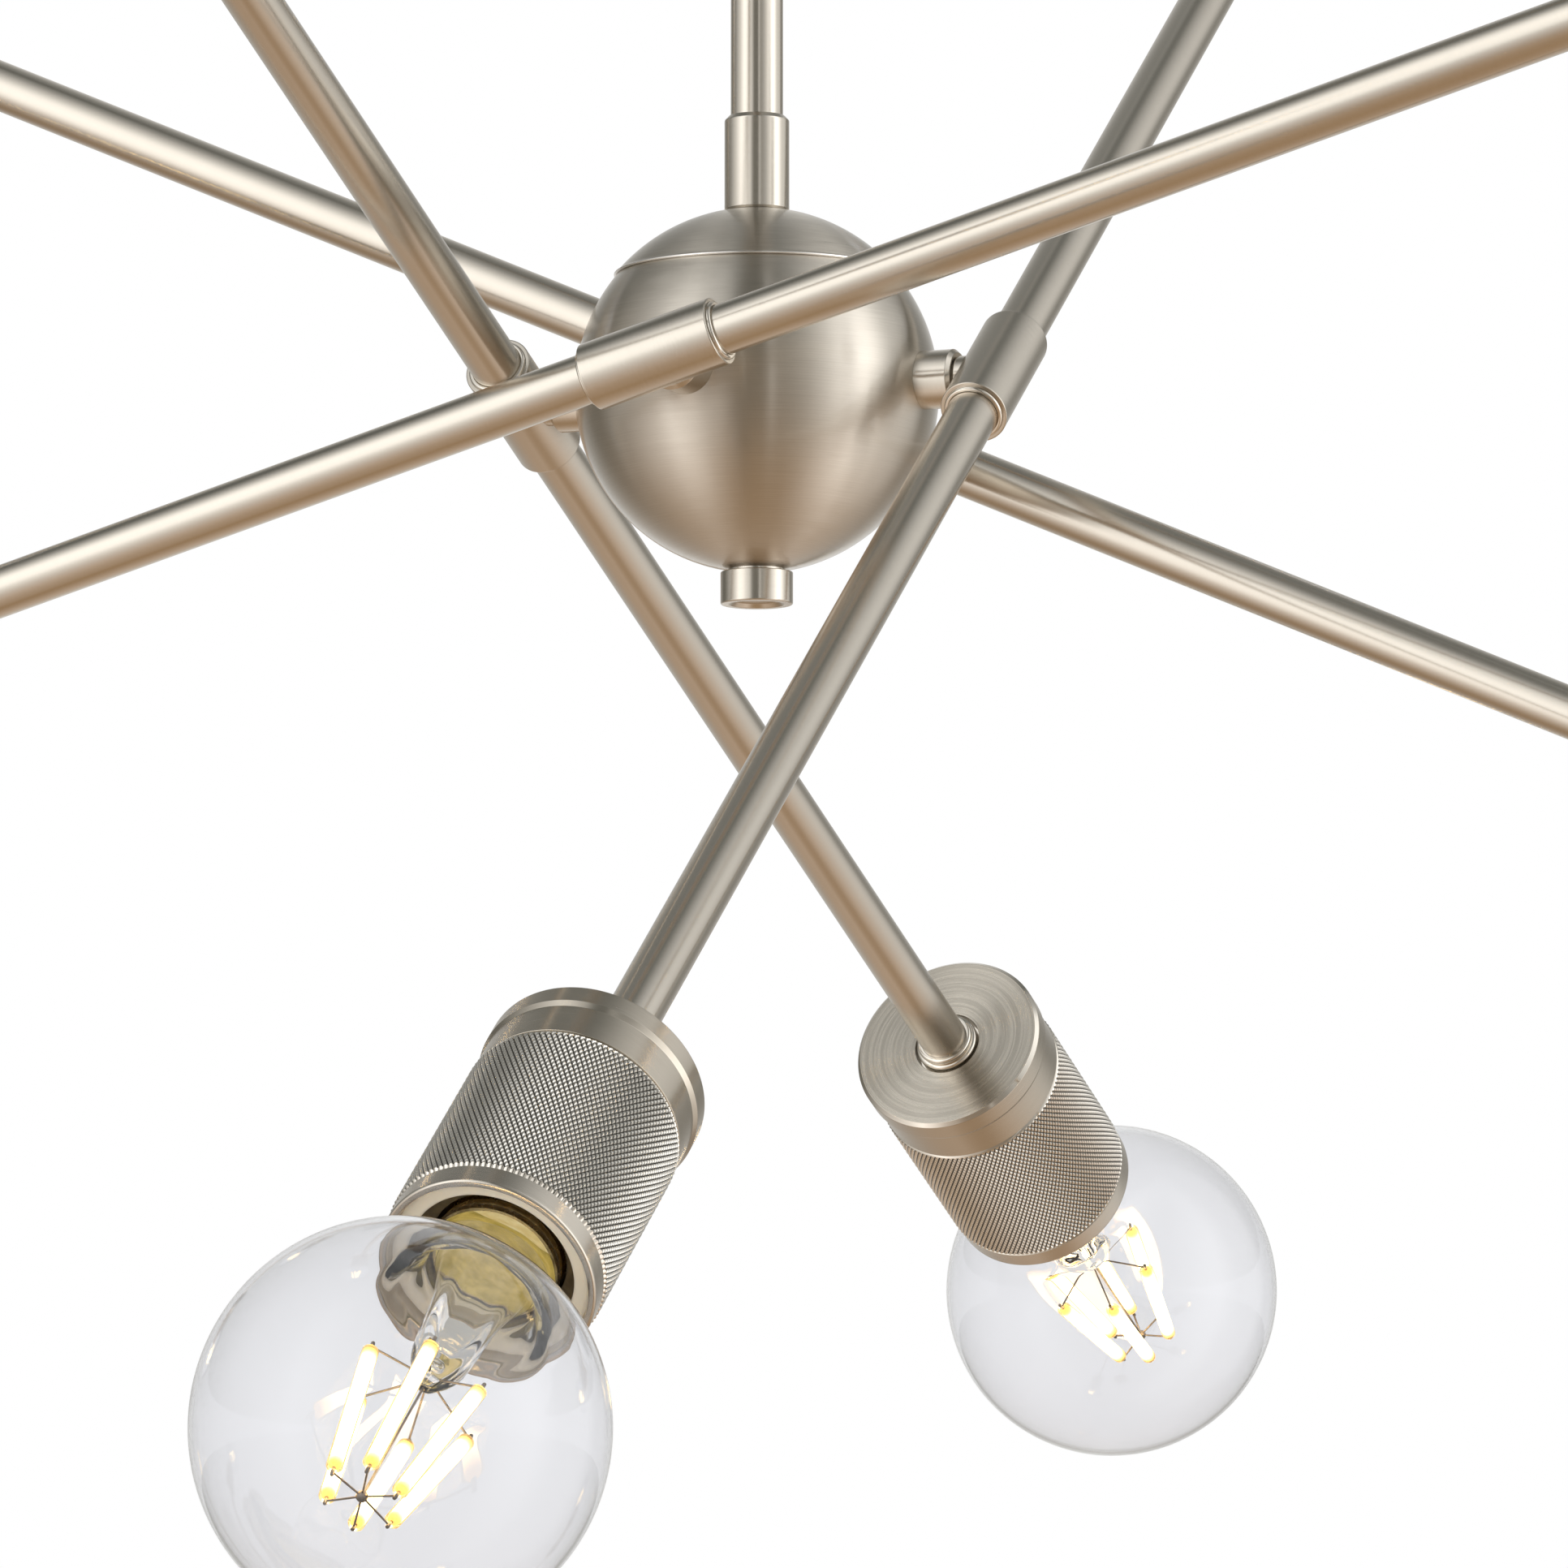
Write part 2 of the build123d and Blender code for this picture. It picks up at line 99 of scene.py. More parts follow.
def lathe_mesh(name, prof, seg=128, loop=False):
    """Mesh turned about local Z from (r, z) points in mm. Points with r = 0 become poles."""
    verts, rings = [], []
    cs = [(math.cos(2 * math.pi * k / seg), math.sin(2 * math.pi * k / seg)) for k in range(seg)]
    for r, z in prof:
        if r < 1e-6:
            rings.append([len(verts)])
            verts.append((0.0, 0.0, z * MM))
        else:
            base = len(verts)
            verts += [(r * c * MM, r * s * MM, z * MM) for c, s in cs]
            rings.append(list(range(base, base + seg)))
    faces = []
    pairs = list(zip(rings[:-1], rings[1:]))
    if loop:
        pairs.append((rings[-1], rings[0]))
    for a, b in pairs:
        if len(a) == 1 and len(b) == 1:
            continue
        for k in range(seg):
            j = (k + 1) % seg
            if len(a) == 1:
                faces.append((a[0], b[j], b[k]))
            elif len(b) == 1:
                faces.append((a[k], a[j], b[0]))
            else:
                faces.append((a[k], a[j], b[j], b[k]))
    return build_mesh(name, verts, faces)


def build_mesh(name, verts, faces, angle=38.0):
    me = bpy.data.meshes.new(name)
    me.from_pydata([tuple(v) for v in verts], [], faces)
    me.update()
    me.polygons.foreach_set("use_smooth", [True] * len(me.polygons))
    me.set_sharp_from_angle(angle=math.radians(angle))
    me.update()
    fix_outward(me)
    return me


def fix_outward(me):
    """Faces point out of the closed surface (signed volume above zero)."""
    vol = 0.0
    vs = me.vertices
    me.calc_loop_triangles()
    for t in me.loop_triangles:
        a, b, c = (vs[i].co for i in t.vertices)
        vol += a.dot(b.cross(c))
    if vol < 0:
        me.flip_normals()
        me.update()


def place(name, mesh, matrix, mat, body, node):
    o = bpy.data.objects.new(name, mesh)
    scene.collection.objects.link(o)
    o.matrix_world = matrix
    if not mesh.materials:
        mesh.materials.append(mat)
    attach(o, body)
    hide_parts(*([node] if isinstance(node, str) else node))
    return o


def two_tone(me, first, second, test):
    """First material all over, second on the faces whose centre passes the test."""
    me.materials.clear()
    me.materials.append(first)
    me.materials.append(second)
    me.polygons.foreach_set("material_index", [1 if test(p.center) else 0 for p in me.polygons])
    me.update()


def arc(cx, cz, r, a0, a1, n):
    """Points on a circle about (cx, cz); angles in degrees from +Z towards +R."""
    return [(cx + r * math.sin(math.radians(a0 + (a1 - a0) * k / n)), cz + r * math.cos(math.radians(a0 + (a1 - a0) * k / n))) for k in range(n + 1)]


# ------------------------------------------------------------------ node helpers
class Tree:
    def __init__(self, name):
        self.mat = bpy.data.materials.new(name)
        self.mat.use_nodes = True
        self.t = self.mat.node_tree
        self.t.nodes.clear()
        self.out = self.t.nodes.new("ShaderNodeOutputMaterial")

    def n(self, kind, **kw):
        node = self.t.nodes.new(kind)
        for k, v in kw.items():
            setattr(node, k, v)
        return node

    def link(self, a, b):
        self.t.links.new(a, b)

    def val(self, node, name, v):
        s = node.inputs[name]
        if hasattr(v, "is_linked") or isinstance(v, bpy.types.NodeSocket):
            self.link(v, s)
        else:
            s.default_value = v

    def math(self, op, a, b=0.0, c=0.0, clamp=False):
        m = self.n("ShaderNodeMath", operation=op, use_clamp=clamp)
        for i, v in enumerate((a, b, c)):
            if isinstance(v, bpy.types.NodeSocket):
                self.link(v, m.inputs[i])
            else:
                m.inputs[i].default_value = v
        return m.outputs[0]

    def object_xyz(self):
        tc = self.n("ShaderNodeTexCoord")
        sep = self.n("ShaderNodeSeparateXYZ")
        self.link(tc.outputs["Object"], sep.inputs[0])
        return tc.outputs["Object"], sep.outputs[0], sep.outputs[1], sep.outputs[2]

    def vec(self, x, y, z):
        c = self.n("ShaderNodeCombineXYZ")
        for i, v in enumerate((x, y, z)):
            if isinstance(v, bpy.types.NodeSocket):
                self.link(v, c.inputs[i])
            else:
                c.inputs[i].default_value = v
        return c.outputs[0]

    def noise(self, vec, scale, detail=3.0, rough=0.55, dist=0.0):
        nz = self.n("ShaderNodeTexNoise")
        self.link(vec, nz.inputs["Vector"])
        nz.inputs["Scale"].default_value = scale
        nz.inputs["Detail"].default_value = detail
        nz.inputs["Roughness"].default_value = rough
        nz.inputs["Distortion"].default_value = dist
        return nz.outputs["Fac"]

    def remap(self, v, a, b, c, d):
        m = self.n("ShaderNodeMapRange")
        self.link(v, m.inputs["Value"])
        for k, x in (("From Min", a), ("From Max", b), ("To Min", c), ("To Max", d)):
            m.inputs[k].default_value = x
        return m.outputs["Result"]

    def mix(self, fac, a, b, blend="MIX"):
        m = self.n("ShaderNodeMix", data_type="RGBA", blend_type=blend)
        if isinstance(fac, bpy.types.NodeSocket):
            self.link(fac, m.inputs["Factor"])
        else:
            m.inputs["Factor"].default_value = fac
        for name, v in (("A", a), ("B", b)):
            s = [i for i in m.inputs if i.name == name and i.type == "RGBA"][0]
            if isinstance(v, bpy.types.NodeSocket):
                self.link(v, s)
            else:
                s.default_value = (*v, 1.0) if len(v) == 3 else v
        return [o for o in m.outputs if o.type == "RGBA"][0]

    def bump(self, height, strength, distance, normal=None):
        b = self.n("ShaderNodeBump")
        b.inputs["Strength"].default_value = strength
        b.inputs["Distance"].default_value = distance
        self.link(height, b.inputs["Height"])
        if normal is not None:
            self.link(normal, b.inputs["Normal"])
        return b.outputs["Normal"]

    def principled(self, **kw):
        p = self.n("ShaderNodeBsdfPrincipled")
        for k, v in kw.items():
            key = k.replace("_", " ")
            names = {i.name.lower(): i for i in p.inputs}
            s = names[key.lower()]
            if isinstance(v, bpy.types.NodeSocket):
                self.link(v, s)
            elif s.type == "RGBA":
                s.default_value = (*v, 1.0) if len(v) == 3 else v
            else:
                s.default_value = v
        self.link(p.outputs[0], self.out.inputs["Surface"])
        return p


NICKEL_A, NICKEL_B = (0.61, 0.56, 0.49), (0.71, 0.66, 0.585)


def nickel(name, lines, rough=(0.20, 0.32), aniso=0.0, bump=0.25, tint=(NICKEL_A, NICKEL_B), scale=1.0, groove=None, grain=1.0, rings=0.0, coat=0.0):
    """Satin nickel with a brushed direction. lines: 'turned' (rings about local Z on walls and faces) or 'length' (lines along Z)."""
    g = Tree(name)
    obj, x, y, z = g.object_xyz()
    rad = g.math("SQRT", g.math("ADD", g.math("MULTIPLY", x, x), g.math("MULTIPLY", y, y)))
    ang = g.math("ARCTAN2", y, x)
    if lines == "turned":
        fine = g.vec(g.math("MULTIPLY", g.math("COSINE", ang), 0.0006), g.math("MULTIPLY", g.math("SINE", ang), 0.0006), g.math("ADD", z, g.math("MULTIPLY", rad, 1.7)))
        line = g.noise(fine, 5200.0 * scale, 4.0, 0.65)
        coarse = g.noise(fine, 900.0 * scale, 3.0, 0.6)
    else:
        fine = g.vec(g.math("MULTIPLY", x, 1.0), g.math("MULTIPLY", y, 1.0), g.math("MULTIPLY", z, 0.006))
        line = g.noise(fine, 3600.0 * scale, 4.0, 0.65)
        coarse = g.noise(fine, 800.0 * scale, 3.0, 0.6)
    cloud = g.noise(obj, 34.0, 3.0, 0.55)
    col = g.mix(g.remap(line, 0.3, 0.7, 0.5 - 0.5 * grain, 0.5 + 0.5 * grain), tint[0], tint[1])
    if rings:
        col = g.mix(g.remap(coarse, 0.42, 0.60, 0.0, rings), col, tuple(0.45 * c for c in tint[0]))
    col = g.mix(g.math("MULTIPLY", g.remap(cloud, 0.35, 0.7, 0.0, 1.0), 0.25), col, tint[1])
    ro = g.math("ADD", g.remap(line, 0.3, 0.7, rough[0], rough[1]), g.math("MULTIPLY", g.math("SUBTRACT", coarse, 0.5), 0.10 * grain))
    # painted shade: inside the groove radii the base colour is pulled towards near black, standing in for the shade
    # deep in the knurl grooves
    if groove:
        groove_painted_shade = g.remap(rad, groove[0] * MM, groove[1] * MM, 1.0, 0.0)
        col = g.mix(groove_painted_shade, col, (0.035, 0.032, 0.027))
        ro = g.math("ADD", ro, g.math("MULTIPLY", groove_painted_shade, 0.2))
    nrm = g.bump(line, bump, 0.00004)
    kw = dict(base_color=col, metallic=1.0, roughness=ro, normal=nrm)
    if coat:
        kw["coat_weight"], kw["coat_roughness"] = coat, 0.06
    if aniso:
        tan = g.n("ShaderNodeTangent", direction_type="RADIAL", axis="Z")
        kw["tangent"] = tan.outputs[0]
        kw["anisotropic"] = aniso
        kw["anisotropic_rotation"] = 0.25
    g.principled(**kw)
    return g.mat


def cad_steel(name, a, b, rough=(0.25, 0.4), bump=0.2):
    g = Tree(name)
    obj, x, y, z = g.object_xyz()
    line = g.noise(g.vec(g.math("MULTIPLY", x, 0.08), y, z), 900.0, 4.0, 0.6)
    spot = g.noise(obj, 260.0, 4.0, 0.6)
    col = g.mix(g.remap(spot, 0.35, 0.68, 0.0, 1.0), a, b)
    g.principled(base_color=col, metallic=1.0, roughness=g.remap(line, 0.3, 0.7, rough[0], rough[1]), normal=g.bump(line, bump, 0.00006))
    return g.mat


M = {}
M["ball"] = nickel("ball_nickel", "turned", rough=(0.29, 0.35), aniso=1.0, bump=0.09, coat=0.5)
M["cap_top"] = nickel("cap_top_nickel", "turned", rough=(0.28, 0.34), aniso=1.0, bump=0.09, coat=0.5)
# painted highlight: the near-white tint paints a bright line along the seam lip of the ball
M["lip"] = nickel("seam_lip_painted_highlight", "turned", rough=(0.20, 0.30), bump=0.04, tint=((0.93, 0.90, 0.86), (0.97, 0.955, 0.925)), coat=1.0)
M["rod"] = nickel("rod_nickel", "turned", rough=(0.21, 0.24), aniso=0.5, bump=0.004, grain=0.3)
M["turned"] = nickel("turned_nickel", "turned", rough=(0.21, 0.25), aniso=0.55, bump=0.015, grain=0.45)
M["face"] = nickel("face_nickel", "turned", rough=(0.24, 0.33), aniso=1.0, bump=0.22, scale=1.1, tint=((0.50, 0.46, 0.40), (0.64, 0.595, 0.52)), rings=0.30)
M["side"] = nickel("cap_side_nickel", "turned", rough=(0.22, 0.27), aniso=0.6, bump=0.02, grain=0.45, tint=((0.54, 0.49, 0.42), (0.64, 0.585, 0.50)))
M["cup"] = nickel("cup_nickel", "turned", rough=(0.20, 0.27), aniso=0.7, bump=0.03, grain=0.5)
# painted light: the pale near-white tint paints highlight onto the knurl tops, and the groove radii paint shade into
# the grooves
M["knurl"] = nickel("knurl_nickel_painted_light", "turned", rough=(0.21, 0.29), bump=0.02, groove=(21.95, 22.19), grain=0.4, tint=((0.88, 0.845, 0.78), (0.93, 0.90, 0.84)))
M["bright"] = nickel("bright_nickel", "turned", rough=(0.07, 0.12), bump=0.06, tint=((0.72, 0.67, 0.59), (0.80, 0.75, 0.68)))
M["zinc"] = cad_steel("zinc_steel", (0.52, 0.53, 0.54), (0.68, 0.69, 0.70))
M["hardware"] = cad_steel("nickel_hardware", NICKEL_A, NICKEL_B, rough=(0.2, 0.32), bump=0.12)


def make_cream():
    g = Tree("cream_porcelain_painted_glow")
    obj, x, y, z = g.object_xyz()
    s = g.noise(obj, 420.0, 4.0, 0.6)
    big = g.noise(obj, 60.0, 3.0, 0.5)
    col = g.mix(g.remap(big, 0.35, 0.65, 0.0, 1.0), (0.90, 0.80, 0.63), (0.94, 0.85, 0.70))
    col = g.mix(g.remap(s, 0.62, 0.8, 0.0, 0.35), col, (0.70, 0.62, 0.48))
    # painted light: the emission makes the porcelain glow, standing in for light falling into the shaded cup
    g.principled(base_color=col, roughness=g.remap(s, 0.3, 0.7, 0.25, 0.42), coat_weight=0.3, coat_roughness=0.12,
                 normal=g.bump(s, 0.12, 0.0001), emission_color=col, emission_strength=0.22)
    return g.mat


def make_matt(name, a, b, rough=(0.45, 0.65), scale=300.0, glow=0.0):
    g = Tree(name)
    obj, x, y, z = g.object_xyz()
    s = g.noise(obj, scale, 4.0, 0.6)
    g.principled(base_color=g.mix(g.remap(s, 0.35, 0.65, 0.0, 1.0), a, b), roughness=g.remap(s, 0.3, 0.7, rough[0], rough[1]),
                 normal=g.bump(s, 0.25, 0.0002), emission_color=g.mix(g.remap(s, 0.35, 0.65, 0.0, 1.0), a, b), emission_strength=glow)
    return g.mat


def make_brass():
    g = Tree("rolled_brass")
    obj, x, y, z = g.object_xyz()
    s = g.noise(obj, 300.0, 4.0, 0.6)
    col = g.mix(g.remap(s, 0.3, 0.7, 0.0, 1.0), (0.70, 0.50, 0.20), (0.88, 0.70, 0.36))
    g.principled(base_color=col, metallic=1.0, roughness=g.remap(s, 0.3, 0.7, 0.18, 0.34), normal=g.bump(s, 0.1, 0.0001))
    return g.mat


def make_glass(name, tint, rough=0.0):
    g = Tree(name)
    obj, x, y, z = g.object_xyz()
    s = g.noise(obj, 26.0, 2.0, 0.5)
    fine = g.noise(obj, 900.0, 3.0, 0.5)
    col = g.mix(g.remap(s, 0.35, 0.65, 0.0, 1.0), tint, tuple(min(1.0, c + 0.015) for c in tint))
    g.principled(base_color=col, transmission_weight=1.0, ior=1.47, roughness=g.remap(fine, 0.55, 0.8, rough, rough + 0.012),
                 normal=g.bump(s, 0.05, 0.0006))
    return g.mat


def make_filament():
    g = Tree("glowing_filament")
    obj, x, y, z = g.object_xyz()
    tc = g.n("ShaderNodeAttribute", attribute_name="along")
    along = tc.outputs["Fac"]
    # near white in the middle, golden towards the ends
    edge = g.math("ABSOLUTE", g.math("SUBTRACT", g.math("MULTIPLY", along, 2.0), 1.0))
    tip = g.remap(edge, 0.80, 0.97, 0.0, 1.0)
    grain = g.noise(obj, 2400.0, 3.0, 0.6)
    col = g.mix(tip, (1.0, 0.90, 0.66), (1.0, 0.60, 0.16))
    base = g.mix(g.remap(grain, 0.3, 0.7, 0.0, 1.0), (1.0, 0.82, 0.40), (1.0, 0.9, 0.6))
    power = g.math("MULTIPLY", g.remap(tip, 0.0, 1.0, 9.0, 1.3), g.remap(grain, 0.3, 0.7, 0.9, 1.1))
    g.principled(base_color=base, roughness=0.5, emission_color=col, emission_strength=power)
    return g.mat


def make_coat():
    """Translucent golden coating around each glowing core."""
    g = Tree("filament_coating")
    obj, x, y, z = g.object_xyz()
    grain = g.noise(obj, 1800.0, 3.0, 0.6)
    col = g.mix(g.remap(grain, 0.3, 0.7, 0.0, 1.0), (1.0, 0.66, 0.26), (1.0, 0.76, 0.36))
    g.principled(base_color=col, transmission_weight=1.0, ior=1.12, roughness=g.remap(grain, 0.3, 0.7, 0.10, 0.2), emission_color=col, emission_strength=0.22)
    return g.mat


def make_plastic(name, a, b, rough=(0.35, 0.55)):
    g = Tree(name)
    obj, x, y, z = g.object_xyz()
    s = g.noise(obj, 700.0, 4.0, 0.6)
    g.principled(base_color=g.mix(g.remap(s, 0.3, 0.7, 0.0, 1.0), a, b), roughness=g.remap(s, 0.3, 0.7, rough[0], rough[1]),
                 normal=g.bump(s, 0.15, 0.0001))
    return g.mat


M["cream"] = make_cream()
# painted shade: the dark brown stands for shade on the porcelain wall inside the holder's hole
M["shade"] = make_matt("hole_wall_painted_shade", (0.20, 0.15, 0.08), (0.30, 0.23, 0.13), scale=420.0)
# painted light: the emission makes the inside of the screw shell glow, standing in for light reaching it
M["inner_brass_painted_glow"] = make_matt("inner_brass_painted_glow", (0.46, 0.37, 0.09), (0.70, 0.58, 0.20), glow=0.36)
# painted light: the emission makes the cement inside the bulb neck glow, standing in for light reaching it
M["cement"] = make_matt("base_cement_painted_glow", (0.70, 0.58, 0.26), (0.90, 0.82, 0.56), scale=260.0, glow=0.45)
M["brass"] = make_brass()
M["glass"] = make_glass("clear_glass", (0.896, 0.898, 0.914))
M["stemglass"] = make_glass("stem_glass", (0.97, 0.965, 0.945))
M["filament"] = make_filament()
M["coat"] = make_coat()
M["insulator"] = make_plastic("dark_insulator", (0.02, 0.02, 0.022), (0.05, 0.05, 0.055))
M["wirecover"] = make_plastic("wire_insulation", (0.02, 0.02, 0.02), (0.06, 0.06, 0.06))
M["clip"] = cad_steel("filament_clip", (0.20, 0.17, 0.14), (0.36, 0.31, 0.26), rough=(0.25, 0.4))

# ------------------------------------------------------------------ stem and hub
IDENT = Matrix.Identity(4)
HUB = T(0, 0, HUB_Z)


def turned_piece(name, corners, mat, body, node, at=IDENT, seg=96, loop=True):
    me = lathe_mesh(name, soften(corners), seg, loop=loop)
    return place(name, me, at, mat, body, node)


turned_piece("upper_stem", [(4.6, -289.6), (4.6, -60.05), (5.65, -60.05, 0.2), (5.65, -289.6, 0.2), (4.6, -289.6)], M["rod"], "stem", "upper_stem_tube", loop=False)
turned_piece("lower_stem", [(4.6, -512.0), (4.6, -290.4), (5.65, -290.4, 0.2), (5.65, -512.0, 0.2), (4.6, -512.0)], M["rod"], "stem", "lower_stem_tube", loop=False)


def coupling(name, top, bottom, node, at=IDENT):
    prof = [(5.69, bottom), (5.69, top), (6.05, top, 0.12), (6.95, top - 0.95, 0.25), (7.0, top - 1.2, 0.2), (7.0, bottom + 1.2, 0.2), (6.95, bottom + 0.95, 0.25), (6.05, bottom, 0.12), (5.69, bottom)]
    return turned_piece(name, prof, M["turned"], "stem", node, at=at, loop=False)


coupling("stem_joint", -278.0, -302.0, "stem_joint_coupling")
saddle = math.sqrt(39.68 ** 2 - 49.0)
turned_piece("hub_collar", [(4.58, 39.42), (4.58, 47.9), (5.69, 47.9), (5.69, 60.0), (6.05, 60.0, 0.12), (6.95, 59.05, 0.25), (7.0, 58.8, 0.2), (7.0, saddle + 0.55, 0.08), (6.62, saddle + 0.1), (4.58, 39.42)],
             M["turned"], "stem", "hub_coupling", at=HUB, loop=False)

# upper cap of the ball with its folded lip, and the lower shell
a_lip = math.degrees(math.acos(SEAM_Z / CAP_R))
cap_out = arc(0, 0, CAP_R, math.degrees(math.asin(4.6 / CAP_R)), a_lip - 1.0, 40)
rl = CAP_R * math.sin(math.radians(a_lip))
lip = [(rl + 0.02, SEAM_Z + 0.42), (rl + 0.05, SEAM_Z + 0.30), (rl + 0.02, SEAM_Z + 0.16), (rl - 0.08, SEAM_Z + 0.05), (rl - 0.22, SEAM_Z), (rl - 0.42, SEAM_Z)]
cap_in = arc(0, 0, CAP_R - 1.5, math.degrees(math.acos(SEAM_Z / (CAP_R - 1.5))), math.degrees(math.asin(4.6 / (CAP_R - 1.5))), 24)
me = lathe_mesh("hub_cap", cap_out + lip + cap_in, 192, loop=True)
two_tone(me, M["cap_top"], M["lip"], lambda c: c.z / MM < SEAM_Z + 0.45 and c.xy.length / MM > rl - 0.6)
place("hub_cap", me, HUB, M["cap_top"], "stem", "hub_top_cap")

a_top = math.degrees(math.acos((SEAM_Z - 0.03) / HUB_R))
sh_out = arc(0, 0, HUB_R, a_top, 180 - math.degrees(math.asin(4.6 / HUB_R)), 84)
sh_in = arc(0, 0, HUB_R - 1.5, 180 - math.degrees(math.asin(4.6 / (HUB_R - 1.5))), math.degrees(math.acos((SEAM_Z - 0.03) / (HUB_R - 1.5))), 60)
me = lathe_mesh("hub_lower_shell", sh_out + sh_in, 192, loop=True)
place("hub_lower_shell", me, HUB, M["ball"], "stem", "hub_shell")

turned_piece("finial", [(0.0, -43.8), (4.58, -43.8), (4.58, -38.9), (6.1, -38.76), (6.1, -39.4), (7.8, -39.4, 0.2), (7.8, -46.4, 0.35), (6.0, -46.4, 0.25), (5.2, -45.5, 0.2), (0.0, -45.35)],
             M["turned"], "stem", "hub_finial", at=HUB, loop=False)

for k in range(4):
    at = HUB @ R(90.0 * k, "Z") @ R(90, "Y")
    turned_piece("arm_post_%d" % (k + 1), [(3.55, 31.0), (4.75, 31.0), (4.75, 38.95), (6.3, 38.75), (6.3, 46.05, 0.15), (5.5, 46.9, 0.15), (3.55, 46.9), (3.55, 31.0)],
                 M["turned"], "stem", "arm_posts", at=at, loop=False)

# ------------------------------------------------------------------ meshes shared by the eight socket ends
tube_prof = soften([(4.6, 283.9), (4.6, 4.5), (5.5, 4.5, 0.15), (5.5, 283.9, 0.15), (4.6, 283.9)])
me_tube = lathe_mesh("rod_half", tube_prof, 96)

bead_prof = [(5.54, 14.3), (6.5, 14.3), (6.5, 15.25)] + [(5.95 + 0.55 * math.cos(math.radians(a)), 15.4 + 0.65 * math.sin(math.radians(a))) for a in range(0, 91, 15)] + [(5.66, 16.03), (5.54, 15.9)]
me_bead = lathe_mesh("sleeve_bead", bead_prof, 96, loop=True)

t = CAP_TOP


def bulge(z0, z1, r_in, r_out, n=8):
    """Half-round bead between two heights."""
    zc, h = (z0 + z1) / 2, (z1 - z0) / 2
    return [(r_in + (r_out - r_in) * math.cos(math.radians(a)), zc + h * math.sin(math.radians(a))) for a in np.linspace(-90, 90, n + 1)]


collar_prof = [(5.54, t - 2.6)] + bulge(t - 2.6, t - 1.05, 6.1, 6.7) + [(6.3, t - 1.0)] + bulge(t - 0.95, t + 0.9, 6.75, 7.4)[:6] + [(7.4, t + 2.05), (9.6, t + 2.05), (9.6, t + 3.6), (5.54, t + 3.6)]
me_collar = lathe_mesh("double_bead_collar", collar_prof, 96, loop=True)

sc = 22.6
cap_prof = soften([(7.9, t + 2.0), (7.9, t, 0.18), (sc - 0.85, t, 0.14), (sc, t + 0.85, 0.14), (sc, t + 5.35, 0.08), (22.0, t + 6.55, 0.25), (22.0, CUP_TOP - 0.02, 0.12), (21.1, CUP_TOP - 0.02), (21.1, t + 2.0), (7.9, t + 2.0)])
me_cap = lathe_mesh("socket_cap", cap_prof, 160)
two_tone(me_cap, M["face"], M["side"], lambda c: c.xy.length / MM > 21.6)
me_cap.materials.append(M["bright"])
for p in me_cap.polygons:
    if p.center.xy.length / MM > sc - 0.8 and p.center.z / MM < t + 0.72:
        p.material_index = 2


